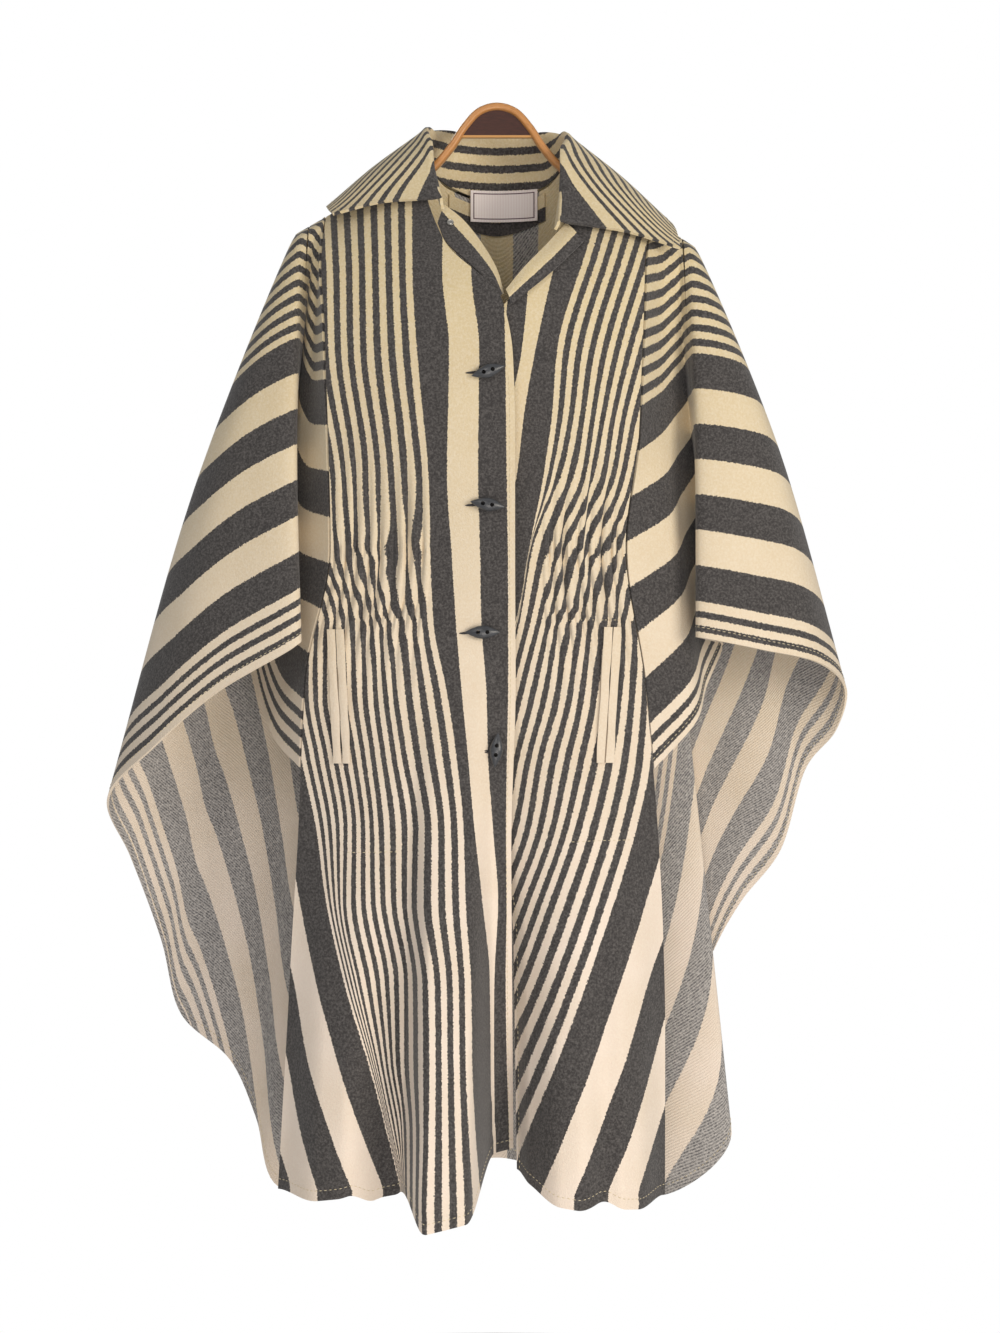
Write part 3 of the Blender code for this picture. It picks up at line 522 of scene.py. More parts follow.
# %% Where the threads run on the fronts
THREADS = (0, 10, 43, 78, 111, 136, 160, 205, 258, 310, 343, 376, 409, 442, 508)
THREAD_COLUMNS = "drop " + " ".join(f"thread_{number}" for number in THREADS)
FRONT_THREADS = {
    "right": table(
        THREAD_COLUMNS,
        (40, -8, 0, 24, 52, 84, 110, 135, 182, 237, 290, 323, 356, 389, 422, 488),
        (143, -15, -6, 25, 53, 82, 106, 129, 171, 222, 270, 303, 336, 369, 402, 468),
        (223, -15.5, -8, 17, 46, 77, 102.5, 127, 168, 215, 262, 295, 328, 361, 394, 460),
        (344, -16.5, -9.5, 18, 48, 66, 90, 113, 150, 190, 230, 262, 294, 326, 358, 422),
        (420, -17.5, -10.7, 16, 43.5, 64, 89, 113, 147, 184, 218, 249, 280, 311, 342, 404),
        (484, -17, -11, 15, 39.5, 61, 82.4, 103, 131, 166, 201, 231, 261, 291, 321, 381),
        (557, -16.5, -10.7, 10, 33.5, 47, 71.7, 95.5, 128, 166, 200, 230, 260, 290, 320, 380),
        (614, -15, -9.5, 9, 28, 38.5, 63.2, 87, 120, 156, 190, 220, 250, 280, 310, 370),
        (685, -13, -8.5, 4, 22, 31.5, 53.7, 75, 112, 145, 174, 204, 234, 264, 294, 354),
        (752, -12.6, -9, -1, 15, 29.5, 53.2, 76, 110, 146, 164, 191, 220, 250, 280, 340),
        (829, -12, -8, 3, 7.5, 25, 45.4, 65, 97, 132, 145.5, 174, 197, 226, 255, 315),
        (905, -13, -9, 4, 7, 24, 44.4, 64, 96, 116, 123.5, 152, 182, 204, 232, 292),
        (972, -14, -11, 3, 5, 21, 43.4, 65, 88, 102, 106, 131, 160, 190, 220, 280),
        (1030, -15, -12.5, 0, 2.7, 17, 42.5, 67, 87, 90, 92, 110, 139, 172, 200, 260),
    ),
    "left": table(
        THREAD_COLUMNS,
        (40, 0, 10, 43, 78, 111, 135, 158, 200, 250, 300, 333, 366, 399, 432, 498),
        (120, 4, 12, 34, 60, 88, 111, 133, 174, 222, 270, 303, 336, 369, 402, 468),
        (223, 0, 6, 24, 37, 58, 80.4, 102, 141, 188, 234, 267, 300, 333, 366, 432),
        (286, -22, -14, 10, 26, 53, 72.4, 91, 124, 166, 206, 239, 272, 305, 338, 402),
        (344, -40, -32, -5, 19, 45, 60, 81, 113, 152, 192, 225, 258, 291, 324, 388),
        (411, -66, -58, -30, -2, 32, 33, 57, 89, 129, 167, 199, 231, 263, 295, 358),
        (484, -90, -82, -54, -24, 19, 20.5, 39, 71, 113, 154, 186, 218, 250, 282, 345),
        (562, -110, -101, -73, -43, -19, 0.4, 19, 58, 105, 152, 184, 216, 248, 280, 343),
        (617, -124, -115, -87, -57, -33, -13.1, 6, 43, 94, 149, 181, 213, 245, 277, 340),
        (685, -150, -141, -112, -80, -52, -29.6, -8, 31, 77, 134.5, 166, 198, 229, 259, 320),
        (752, -178, -168, -139, -107, -79, -56.6, -35, 8, 54, 113.5, 145, 178, 208, 237, 296),
        (829, -200, -190, -161, -129, -101, -81.1, -62, -20, 27, 86, 119, 147, 176, 205, 262),
        (905, -225, -215, -186, -155, -132, -113.1, -95, -52, -5, 58, 91.5, 123, 152, 182, 240),
        (972, -250, -240, -211, -180, -157, -138.1, -120, -78, -30, 32, 65.5, 97, 130, 157, 214),
        (1030, -270, -260, -231, -200, -177, -158.1, -140, -98, -50, 12.5, 42.5, 73, 106, 135, 192),
    ),
}


def front_threads(side, points):
    """The thread number of each point of a front."""
    rows = FRONT_THREADS[side]
    out, drop = SIDES[side] * points[..., 0], -points[..., 2]
    places = [smooth(drop, rows["drop"], rows[f"thread_{number}"]) for number in THREADS]
    thread = np.full(out.shape, float(THREADS[0]))
    for low, high, start, end in zip(THREADS, THREADS[1:], places, places[1:]):
        thread += (high - low) * np.clip((out - start) / (end - start), 0, 1)
    return thread


print("threads of the fronts:", {side: len(rows["drop"]) for side, rows in FRONT_THREADS.items()}, "rows")

# %% [markdown]
# Gathers don't only push the cloth in and out. They drag its threads sideways too, so that the stripes
# wander at the waist, bend at each row of elastic and close up where a tuck hides some of the cloth.

# %% How the gathers move the threads
WAVER_DROP, WAVER_SPREAD = 440, 100
# Two waves of the stripes at the waist: how far sideways, how they turn with the drop and across the band,
# and how they swell across it.
WAVERS = table("far fall lean start swells first", (3.0, 26, 6, 0, 3.2, 0.7), (0.6, 12, -9, 1, 7, 0))
KINK, KINK_HALF = 4.2, 11  # the zigzag at each row of elastic
KINK_SWAY, KINK_SWAYS = 4, 8  # how far the row itself goes up and down, and how often
KINK_MEAN, KINK_SWING, KINK_TURNS = 0.6, 0.4, 9  # the zigzag is stronger in some places
TUCK_REACH, TUCK_SHARP = 0.12, 14  # how far from a tuck the threads move, and how sharply they turn in


def gathered_threads(side, c, drop):
    """How far the gathers push the threads sideways, in millimetres."""
    along, inside = gathered_band(side, c, PUCKER_FADES)
    level = bell((drop - WAVER_DROP) / WAVER_SPREAD)
    waver = 0
    for far, fall, lean, begin, swells, first in zip(*WAVERS.values()):
        swell = np.sin(swells * math.pi * along + first)
        waver = waver + far * level * np.sin(drop / fall + lean * along + begin) * swell
    for row in ELASTIC_DROPS:
        off = (drop - row + KINK_SWAY * np.sin(KINK_SWAYS * along)) / KINK_HALF
        strength = KINK_MEAN + KINK_SWING * np.sin(KINK_TURNS * along + row)
        waver = waver + KINK * off * bell(off) * strength
    for share, low, half, hides in zip(*TUCKS[side].values()):
        near = np.clip((c - share) / TUCK_REACH, -1, 1)
        turned = bell((drop - low) / half)
        waver = waver + hides / 2 * turned * (np.tanh(TUCK_SHARP * near) - near)
    return inside * waver


share, _ = front_shares()
pushed = gathered_threads("right", share, np.full(share.shape, float(WAVER_DROP)))
print("threads move sideways by up to", round(float(np.abs(pushed).max()), 1), "mm")

# %% [markdown]
# On the wings and the back the stripes fan out, because a wing is longer than the shoulder that it hangs
# from. Two numbers for a rib, partway down and at the hem, say how far it has come across the cloth.

# %% Threads of the wings and the back
SHOULDER_THREAD = 200
SELVAGE_THREAD = {"right": 590, "left": 574}  # more is turned under on the left
MIDDLE_SHARE = 0.6
# The thread partway down each rib of the back, and at its hem. The ribs not named go evenly to the selvage.
RIB_THREADS = {
    "right": {
        "heel": (426, 590), "selvage": (416, 588), "low_selvage": (409, 588), "corner": (372, 545),
        "flank": (347, 512), "side": (327, 483), "blade": (191, 261), "neck": (127, 186),
        "nape_side": (70, 102), "centre": (0, 0),
    },
    "left": {
        "heel": (436, 574), "selvage": (415, 574), "low_selvage": (405, 574), "corner": (378, 574),
        "flank": (360, 570), "tuck": (345, 545), "fold_crest": (335, 475), "side": (267, 447),
        "blade": (190, 290), "neck": (127, 190), "nape_side": (70, 102), "centre": (0, 0),
    },
}


def rib_threads(side, first, last):
    """The thread number of every row of some of a side's ribs."""
    rows = []
    for name, top_in in zip(RIBS[side]["rib"][first:last], RIBS[side]["top_in"][first:last]):
        top = min(RIDGE[side]["tip_out"] - top_in, SHOULDER_THREAD)
        selvage = SELVAGE_THREAD[side]
        middle, hem = RIB_THREADS[side].get(name, (top + (selvage - top) * MIDDLE_SHARE, selvage))
        rows.append(smooth(FINE_ROWS, (0, MIDDLE_SHARE, 1), (top, middle, hem)))
    return np.array(rows)


def between_ribs(rows, cells):
    """Thread numbers for the columns between ribs."""
    at = np.concatenate([[0], np.cumsum(cells)])
    columns = np.arange(at[-1] + 1)
    return np.stack([smooth(columns, at, rows[:, k]) for k in range(rows.shape[1])], axis=1)


def wing_threads(side):
    last = rib_row(side, "overarm_seam")
    return between_ribs(rib_threads(side, 0, last + 1), RIBS[side]["cells"][:last] * FINER)


def back_threads():
    rows, cells = {}, {}
    for side in SIDES:
        first = rib_row(side, "overarm_seam")
        rows[side] = rib_threads(side, first, None)
        cells[side] = RIBS[side]["cells"][first:-1] * FINER
    rows["left"] = rows["left"][-2::-1]
    both = np.concatenate([rows["right"], rows["left"]])
    return between_ribs(both, np.concatenate([cells["right"], cells["left"][::-1]]))


print("threads across the back:", back_threads().shape)

# %% [markdown]
# ## Materials
#
# Every finish starts from what the real one is. One function turns an sRGB colour, as a paint chart gives
# it, to the linear numbers that the renderer works in. One adds a node with its settings, and one gives a
# node's inputs their values or links.


# %% Colours and nodes
def linear(hex_colour):
    """An sRGB hex colour as linear red, green, blue and alpha."""
    parts = [int(hex_colour[i:i + 2], 16) / 255 for i in (1, 3, 5)]
    return (*[((c + 0.055) / 1.055) ** 2.4 if c > 0.04045 else c / 12.92 for c in parts], 1)


def joined(tree, made, links):
    """Gives a node's inputs their values, or links them to other nodes' outputs."""
    for name, value in links.items():
        if isinstance(value, bpy.types.NodeSocket):
            tree.links.new(value, made.inputs[name])
        else:
            made.inputs[name].default_value = value


def node(tree, kind, links=None, **settings):
    """Adds a node with its settings. links gives its inputs."""
    made = tree.nodes.new(kind)
    for name, value in settings.items():
        setattr(made, name, value)
    joined(tree, made, links or {})
    return made


def new_material(name):
    """An empty material with its shader, and the tree to add nodes to."""
    made = bpy.data.materials.new(name)
    made.use_nodes = True
    return made, made.node_tree, made.node_tree.nodes["Principled BSDF"]


print("mid grey in linear numbers:", [round(part, 3) for part in linear("#808080")])


# %% [markdown]
# ### Brushed wool
#
# Carded wool, woven in a twill and brushed until the fibres stand up. The nap hides the weave on the face,
# blurs the edge of every stripe and gives the cloth a soft bright rim. The charcoal yarn is heathered: dark
# and pale fibres are spun together. The wrong side is brushed less, so that the diagonal of the twill and
# a paler grey show there, and that grey is lightened further as painted light, since little lamp light
# reaches the inside. The nap is drawn about 1.5 mm across, coarser than fibres are, or it wouldn't show.

# %% Yarns
# The cream is painted warmer and darker at the top and paler lower down: painted light, for the brighter
# light on the lower cloth.
CREAM_PAINTED_LIGHT_TOP, CREAM_PAINTED_LIGHT_LOW, CREAM_SHADE, CREAM_FLECK = "#DFCDA2", "#F3E4D6", "#CDB994", "#F7EFE0"
# Greys of the dark yarn on each side: the deepest, the most usual and the palest fibres. The wrong side's
# greys are lightened as painted light, since little lamp light reaches the inside.
GREYS = {"face": ("#343234", "#474544", "#6B6867"), "inside": ("#525153", "#828183", "#D2CECA")}
CREAM_PAINTED_LIGHT_DROPS = (0.15, 0.75)  # metres down from the panel, where the cream starts to pale and where it stops
PATCHES, PATCH_RANGE, PATCH_MOST = 14.0, (0.35, 0.75), 0.3  # worn patches of the cream, for each metre
FLECK_RANGE, FLECK_MOST = (0.42, 0.72), 0.45  # which fibres are pale, and how much they lift the cream


def cream_yarn(tree, place, drop, fleck):
    """Undyed wool, worn in patches and pale-flecked; painted light makes its top warmer and its lower part
    paler.
    """
    lower = {"Value": drop, "From Min": CREAM_PAINTED_LIGHT_DROPS[0], "From Max": CREAM_PAINTED_LIGHT_DROPS[1]}
    painted_light_share = node(tree, "ShaderNodeMapRange", lower).outputs[0]
    ends = {0: painted_light_share, 6: linear(CREAM_PAINTED_LIGHT_TOP), 7: linear(CREAM_PAINTED_LIGHT_LOW)}
    cream = node(tree, "ShaderNodeMix", ends, data_type="RGBA").outputs[2]
    patch = node(tree, "ShaderNodeTexNoise", {"Vector": place, "Scale": PATCHES, "Detail": 3.0}).outputs[0]
    patches = {"Value": patch, "From Min": PATCH_RANGE[0], "From Max": PATCH_RANGE[1]}
    shaded = node(tree, "ShaderNodeMapRange", patches).outputs[0]
    worn = node(tree, "ShaderNodeMath", {0: shaded, 1: PATCH_MOST}, operation="MULTIPLY").outputs[0]
    ends = {0: worn, 6: cream, 7: linear(CREAM_SHADE)}
    uneven = node(tree, "ShaderNodeMix", ends, data_type="RGBA").outputs[2]
    lifted = node(tree, "ShaderNodeMath", {0: fleck, 1: FLECK_MOST}, operation="MULTIPLY").outputs[0]
    ends = {0: lifted, 6: uneven, 7: linear(CREAM_FLECK)}
    return node(tree, "ShaderNodeMix", ends, data_type="RGBA").outputs[2]


def charcoal_yarn(tree, greys, fibre, fleck):
    """Heathered wool: dark fibres of two greys, spun with pale ones."""
    deep, usual, palest = (linear(grey) for grey in greys)
    dark = node(tree, "ShaderNodeMix", {0: fibre, 6: deep, 7: usual}, data_type="RGBA").outputs[2]
    return node(tree, "ShaderNodeMix", {0: fleck, 6: dark, 7: palest}, data_type="RGBA").outputs[2]


print("yarns: cream", CREAM_PAINTED_LIGHT_TOP, "to", CREAM_PAINTED_LIGHT_LOW, "and charcoal", GREYS["face"][1])

# %% [markdown]
# The stripes are a list: wide dark bands, each from one thread to another, and a zone of fine lines at an
# even pitch. A picture of stripes would blur close up and stretch on the folds. A comparison of thread
# numbers stays sharp, and a little noise in the number lets stray fibres cross each edge.

# %% Stripes
# Dark stripes of the cloth, from the middle thread outwards, and its zone of fine lines.
CLOTH_BANDS = ((10, 43), (78, 111), (310, 343), (376, 409), (442, 475), (508, 541), (550, 556), (563, 569),
               (576.5, 582.5))
CLOTH_LINES = {"low": 111, "high": 309.5, "pitch": 13.72, "dark": 6.9}


def dark_stripes(tree, thread, bands, lines):
    """How dark the cloth is at each thread: 0 in cream and 1 in charcoal."""
    low, pitch, dark = lines["low"], lines["pitch"], lines["dark"]
    from_low = node(tree, "ShaderNodeMath", {0: thread, 1: low}, operation="SUBTRACT").outputs[0]
    repeat = node(tree, "ShaderNodeMath", {0: from_low, 1: pitch}, operation="FLOORED_MODULO").outputs[0]
    line = node(tree, "ShaderNodeMath", {0: repeat, 1: pitch - dark / 2, 2: dark / 2}, operation="COMPARE")
    half = (lines["high"] - low) / 2
    zone = node(tree, "ShaderNodeMath", {0: thread, 1: low + half, 2: half}, operation="COMPARE")
    total = node(tree, "ShaderNodeMath", {0: line.outputs[0], 1: zone.outputs[0]}, operation="MULTIPLY")
    for start, end in bands:
        spot = {0: thread, 1: (start + end) / 2, 2: (end - start) / 2}
        band = node(tree, "ShaderNodeMath", spot, operation="COMPARE").outputs[0]
        total = node(tree, "ShaderNodeMath", {0: total.outputs[0], 1: band}, operation="MAXIMUM")
    return total.outputs[0]


print("dark bands:", len(CLOTH_BANDS))

# %% [markdown]
# The wool joins them: the number of a thread, disturbed by fibres, picks the yarn, and the same fibres raise
# the nap. The wrong side adds the ridges of the twill, which lift some of the charcoal to its palest grey.

# %% Striped wool
NAP_MM, HEATHER_MM, TWILL_MM = 1.5, 2.2, 4.4
BLUR_MM = 0.9  # how far fibres cross the edge of a stripe
NAP_HIGH, NAP_STRENGTH = 0.0012, 0.55
TWILL_HIGH, TWILL_PALE, TWILL_FROM = 0.35, 0.6, -0.1  # how high and how pale a ridge is, and where it starts


def twill_ridges(tree, across, down):
    """The diagonal ridges of the twill, from -1 in a furrow to 1 on a ridge."""
    slant = node(tree, "ShaderNodeMath", {0: across, 1: down}, operation="ADD").outputs[0]
    turns = {0: slant, 1: 2 * METRE * math.pi / TWILL_MM}
    turn = node(tree, "ShaderNodeMath", turns, operation="MULTIPLY").outputs[0]
    return node(tree, "ShaderNodeMath", {0: turn}, operation="SINE").outputs[0]


def striped_wool(name, bands, lines, inside=False):
    """Brushed wool with woven stripes, read from the thread numbers in a piece's UV map."""
    made, tree, shader = new_material(name)
    greys = GREYS["inside" if inside else "face"]
    place = node(tree, "ShaderNodeTexCoord").outputs["Object"]
    threads = node(tree, "ShaderNodeUVMap", uv_map="Threads").outputs[0]
    across, down, _ = node(tree, "ShaderNodeSeparateXYZ", {0: threads}).outputs
    nap = {"Vector": place, "Scale": METRE / NAP_MM, "Detail": 3.0}
    fibre = node(tree, "ShaderNodeTexNoise", nap).outputs[0]
    crossing = {0: fibre, 1: 4 * BLUR_MM, 2: -2 * BLUR_MM}
    stray = node(tree, "ShaderNodeMath", crossing, operation="MULTIPLY_ADD").outputs[0]
    numbers = {0: across, 1: METRE, 2: stray}
    thread = node(tree, "ShaderNodeMath", numbers, operation="MULTIPLY_ADD").outputs[0]
    dark = dark_stripes(tree, thread, bands, lines)
    spun = {"Vector": place, "Scale": METRE / HEATHER_MM, "Detail": 4.0, "Roughness": 0.7}
    heather = node(tree, "ShaderNodeTexNoise", spun).outputs[0]
    flecks = {"Value": heather, "From Min": FLECK_RANGE[0], "From Max": FLECK_RANGE[1]}
    fleck = node(tree, "ShaderNodeMapRange", flecks).outputs[0]
    cream = cream_yarn(tree, place, down, fleck)
    charcoal = charcoal_yarn(tree, greys, fibre, fleck)
    height = fibre
    if inside:
        ridge = twill_ridges(tree, across, down)
        ribbed = {0: ridge, 1: TWILL_HIGH, 2: height}
        height = node(tree, "ShaderNodeMath", ribbed, operation="MULTIPLY_ADD").outputs[0]
        crest = {"Value": ridge, "From Min": TWILL_FROM, "From Max": 1.0, "To Max": TWILL_PALE}
        raised = node(tree, "ShaderNodeMapRange", crest).outputs[0]
        ends = {0: raised, 6: charcoal, 7: linear(greys[-1])}
        charcoal = node(tree, "ShaderNodeMix", ends, data_type="RGBA").outputs[2]
    woven = node(tree, "ShaderNodeMix", {0: dark, 6: cream, 7: charcoal}, data_type="RGBA").outputs[2]
    brushed = {"Height": height, "Strength": NAP_STRENGTH, "Distance": NAP_HIGH}
    bump = node(tree, "ShaderNodeBump", brushed).outputs[0]
    joined(tree, shader, {"Base Color": woven, "Normal": bump, "Roughness": 0.92, "Specular IOR Level": 0.2,
                          "Sheen Weight": 0.25, "Sheen Roughness": 0.5})
    return made


WOOL = striped_wool("brushed_striped_wool", CLOTH_BANDS, CLOTH_LINES)
ROLLED_EDGE = ((584, 600),)  # the right wing's edge rolls in, and its dark face shows on the wrong side
# The wrong side's paler greys are partly painted light: lightened because little lamp light reaches the
# inside.
WOOL_INSIDE_PAINTED_LIGHT = striped_wool("striped_wool_wrong_side_painted_light", CLOTH_BANDS + ROLLED_EDGE, CLOTH_LINES, inside=True)
print("wool nodes:", len(WOOL.node_tree.nodes))

# %% [markdown]
# ## Making cloth
#
# A piece of cloth starts as a grid, which is flat like the cut piece. Its points are moved to the drape,
# and every corner of its UV map gets the thread number and the drop there. Solidify then gives the cloth
# its thickness, with the wrong side in its own material.


# %% Cloth from a sheet of points
def flat_grid(name, across, down):
    """A new grid piece with this many columns and rows of points, alone selected."""
    bpy.ops.object.select_all(action="DESELECT")
    bpy.ops.mesh.primitive_grid_add(x_subdivisions=across - 1, y_subdivisions=down - 1, size=2)
    piece = bpy.context.object
    piece.name = piece.data.name = name
    return piece


def grid_places(piece, across, down):
    """The column and the row of each point of a flat grid."""
    places = np.empty(len(piece.data.vertices) * 3)
    piece.data.vertices.foreach_get("co", places)
    places = places.reshape(-1, 3)
    column = np.rint((places[:, 0] + 1) / 2 * (across - 1)).astype(int)
    row = np.rint((places[:, 1] + 1) / 2 * (down - 1)).astype(int)
    return column, row


def set_threads(piece, numbers):
    """Stores each point's thread number and drop in the UV map that the stripes read."""
    corners = np.empty(len(piece.data.loops), dtype=np.int32)
    piece.data.loops.foreach_get("vertex_index", corners)
    layer = piece.data.uv_layers.active
    layer.name = "Threads"
    layer.data.foreach_set("uv", (numbers[corners] * MM).astype(np.float32).ravel())


def cloth(name, points, threads, look, inside, wall=WALL):
    """A piece of cloth along a sheet of points, its right side where the sheet's normal points."""
    across, down = points.shape[:2]
    piece = flat_grid(name, across, down)
    column, row = grid_places(piece, across, down)
    placed = points[column, row]
    piece.data.vertices.foreach_set("co", (placed * MM).astype(np.float32).ravel())
    set_threads(piece, np.stack([threads[column, row], -placed[:, 2]], axis=1))
    piece.data.update()
    piece.data.materials.append(look)
    piece.data.materials.append(inside)
    wall_modifier = piece.modifiers.new("Wall", "SOLIDIFY")
    wall_modifier.thickness = wall * MM
    wall_modifier.offset = 0
    wall_modifier.material_offset = 1
    bpy.ops.object.modifier_apply(modifier=wall_modifier.name)
    bpy.ops.object.shade_smooth_by_angle(angle=math.radians(50))
    return piece


def finished(piece, slot_name, *nodes):
    """Puts a finished piece in the place of its solids."""
    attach(piece, "root")
    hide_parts(*nodes)
    print(piece.name, "faces:", len(piece.data.polygons))
    return piece


# %% [markdown]
# The body of the poncho is five pieces: two fronts, a side panel beside each, and the back with its wings.
# Each is one grid, so that no seam shows where the real piece has none. The left pieces are turned round
# before they are laid, so that their right side faces outwards too.

# %% The body of the poncho
PIECES, SHEETS = {}, {}  # the finished cloth, and the points that it was laid along
for side in SIDES:
    points = front_sheet(side)
    threads = front_threads(side, points) + gathered_threads(side, front_shares()[0], -points[..., 2])
    if SIDES[side] > 0:
        points, threads = points[::-1], threads[::-1]
    PIECES[f"front_{side}"] = cloth(f"front_{side}_cloth", points, threads, WOOL, WOOL_INSIDE_PAINTED_LIGHT)
    wing, threads = wing_front_sheet(side), wing_threads(side)
    if SIDES[side] > 0:
        wing, threads = wing[::-1], threads[::-1]
    PIECES[f"wing_front_{side}"] = cloth(f"wing_front_{side}_cloth", wing, threads, WOOL, WOOL_INSIDE_PAINTED_LIGHT)
PIECES["back"] = cloth("back_cloth", back_sheet(), back_threads(), WOOL, WOOL_INSIDE_PAINTED_LIGHT)
for node_name, piece in PIECES.items():
    finished(piece, "striped_wool", node_name)

# %% [markdown]
# ## Collar
#
# The collar is cut across the cloth, so that its stripes follow its edge. It stands up round the neck, folds
# over and falls to a point on each shoulder.

# %% Collar sheet
COLLAR = table(
    "station seam_x seam_y seam_z fold_x fold_y fold_z edge_x edge_y edge_z cells",
    ("right_end", -53, -50, -80, -55, -54, -71, -161, -44, -84, 4),
    ("right_fore", -66, -20, -41, -65, -25, -14, -168, -26, -75, 3),
    ("right_side", -75, 3, -24, -69, 6, 10, -166, 4, -70, 4),
    ("right_back", -48, 46, -40.5, -46, 42, 13, -116, 76, -78, 4),
    ("nape", 0, 60, -52.8, 0, 52, 12, 0, 92, -88, 4),
    ("left_back", 46, 46, -41, 45, 42, 12, 120, 76, -84, 4),
    ("left_side", 71.5, 3, -24, 68, 6, 5, 168, 4, -83, 3),
    ("left_fore", 67, -20, -36, 64, -25, -18, 176, -26, -96, 4),
    ("left_end", 57, -62, -102, 61, -66, -96, 180, -47, -118, 0),
)
COLLAR_FINE = 8
COLLAR_CELLS = COLLAR["cells"][:-1] * COLLAR_FINE
# Dark stripes of the collar, counted from the fold at its right end, and the thread that lies on the fold
# at each station: towards the neck the fold runs across the stripes.
COLLAR_BANDS = ((-26, 22),)
COLLAR_LINES = {"low": 31.5, "high": 210, "pitch": 14.8, "dark": 6.4}
FOLD_THREADS = (0, 48, 86, 86, 86, 86, 68, 40, -24)
STAND_SHARE, FALL_SHARE = 0.6, 0.55  # where the stand and the fall have a point between their edges
FOLD_OUT, FOLD_RISE, FALL_RISE = 9, 1.5, 5  # how the cloth swells over the fold and on the fall
COLLAR_ROWS, COLLAR_DRAWN = 8 * COLLAR_FINE, (6, 6, 6, 6, 6)
STAND_EASE = 0.83  # the stand is drawn out a little round the neck
END_CREAM = 40  # at its two ends the stand is cut from the cream beside the dark stripe


def collar_sheet():
    """The collar from its seam up the stand, over the fold and down the fall."""
    seam, fold, edge = (
        np.stack([COLLAR[place + axis] for axis in ("_x", "_y", "_z")], axis=1)
        for place in ("seam", "fold", "edge")
    )
    up = np.array([0, 0, 1.0])
    outward = edge - fold
    outward /= np.linalg.norm(outward, axis=1, keepdims=True)
    stand = seam + (fold - seam) * STAND_SHARE
    over = fold + outward * FOLD_OUT + up * FOLD_RISE
    fall = fold + (edge - fold) * FALL_SHARE + up * FALL_RISE
    across = np.stack([seam, stand, fold + up * FOLD_RISE, over, fall, edge], axis=0)
    lines = np.stack(
        [spaced(through(across[:, i], COLLAR_DRAWN), np.linspace(0, 1, COLLAR_ROWS + 1))
         for i in range(across.shape[1])]
    )
    return through(lines, COLLAR_CELLS)


def collar_threads(points):
    """The thread number of each point of the collar, from the one on its fold."""
    steps = np.linalg.norm(np.diff(points, axis=1), axis=-1)
    run = np.concatenate([np.zeros((len(points), 1)), steps.cumsum(axis=1)], axis=1)
    stations = np.concatenate([[0], np.cumsum(COLLAR_CELLS)]).astype(int)
    tops = run[stations, np.argmax(points[stations, :, 2], axis=1)]
    columns = np.arange(len(run))
    off = run - smooth(columns, stations, tops)[:, None]
    at_end = ease(1 - np.minimum(columns, columns[::-1]) / COLLAR_CELLS[0])[:, None]
    stand = STAND_EASE * off - END_CREAM * at_end * ease(-off / 3)
    return np.where(off < 0, stand, off) + smooth(columns, stations, FOLD_THREADS)[:, None]


COLLAR_WOOL = striped_wool("collar_striped_wool", COLLAR_BANDS, COLLAR_LINES)
collar = collar_sheet()
threads = collar_threads(collar)
PIECES["collar"] = cloth("collar_cloth", collar, threads, COLLAR_WOOL, COLLAR_WOOL, COLLAR_WALL)
finished(PIECES["collar"], "striped_wool", "collar")

# %% [markdown]
# ## Facings
#
# The neckline is finished with strips of the same cloth, turned to the inside. The right one stands up
# behind the edge, and the left one has fallen outwards over it. Such strips follow the cloth that they are
# sewn to, so each is laid on a front or on the back, point by point, and not drawn in space.


# %% Laying things on a front
SEEK_ACROSS, SEEK_DOWN = 181, 361  # places tried across and down a front


def normals(sheet):
    """Unit normals of a sheet of points, turned to the front."""
    across, down = np.gradient(sheet, axis=0), np.gradient(sheet, axis=1)
    normal = np.cross(across, down)
    normal /= np.linalg.norm(normal, axis=-1, keepdims=True) + 1e-12
    return normal * np.where(normal[..., 1:2] > 0, -1, 1)


def on_front(side, x, drop, lift):
    """The point of a front's face nearest in X and Z, moved out by lift."""
    c, t = np.meshgrid(np.linspace(0, 1, SEEK_ACROSS), np.linspace(0, 1, SEEK_DOWN), indexing="ij")
    sheet = front_points(side, c, t, gathered=False)
    off = (sheet[..., 0] - x) ** 2 + (sheet[..., 2] + drop) ** 2
    i, k = np.unravel_index(np.argmin(off), off.shape)
    normal = normals(sheet[max(i - 1, 0):i + 2, max(k - 1, 0):k + 2])
    normal = normal[min(i, 1), min(k, 1)]
    return sheet[i, k] + normal * lift


def laid(side, x, drop, lift):
    """A point at x and drop, as far forward as the front nearest to it and lift more."""
    return np.array([x, on_front(side, x, drop, 0)[1] - lift, -drop])


print("a point on the right front:", np.round(on_front("right", -80, 500, 0), 1))

# %% [markdown]
# Both turned facings are given by a short table along the neckline. Each row makes three points: the sewn
# edge, the middle, which stands out, and the free edge.

# %% Turned facings
FACING_BEHIND = 1  # from the inside of the right front to its facing
FACING_SWELLS = {"right": (0, -2, 1), "left": (0, -2.5, 1)}  # how the middle of each strip stands out
ROLL_LIFT, LOW_LIFT = 0.6, 2.6  # from the left front to its fallen facing, at the roll and at the free edge


def facing_right_sheet():
    """The turned facing of the right front, from behind the edge of its neckline up to the neck."""
    edge = table(
        "edge_x edge_drop neck_x neck_drop lean",
        (-58, 94, -52, 74, 10),
        (-50, 113, -33, 90, 17),
        (-28, 135, -12, 119, 17),
        (-9, 155, 0, 143, 12),
        (2.5, 171, 6, 167, 6),
    )
    rows = []
    for x, drop, neck_x, neck_drop, lean in zip(*edge.values()):
        seam = laid("right", x, drop, -WALL - FACING_BEHIND)
        neck = np.array([neck_x, seam[1] + lean, -neck_drop])
        rows.append([seam, (seam + neck) / 2 + FACING_SWELLS["right"], neck])
    return through(rows, (3, 3, 3, 3))


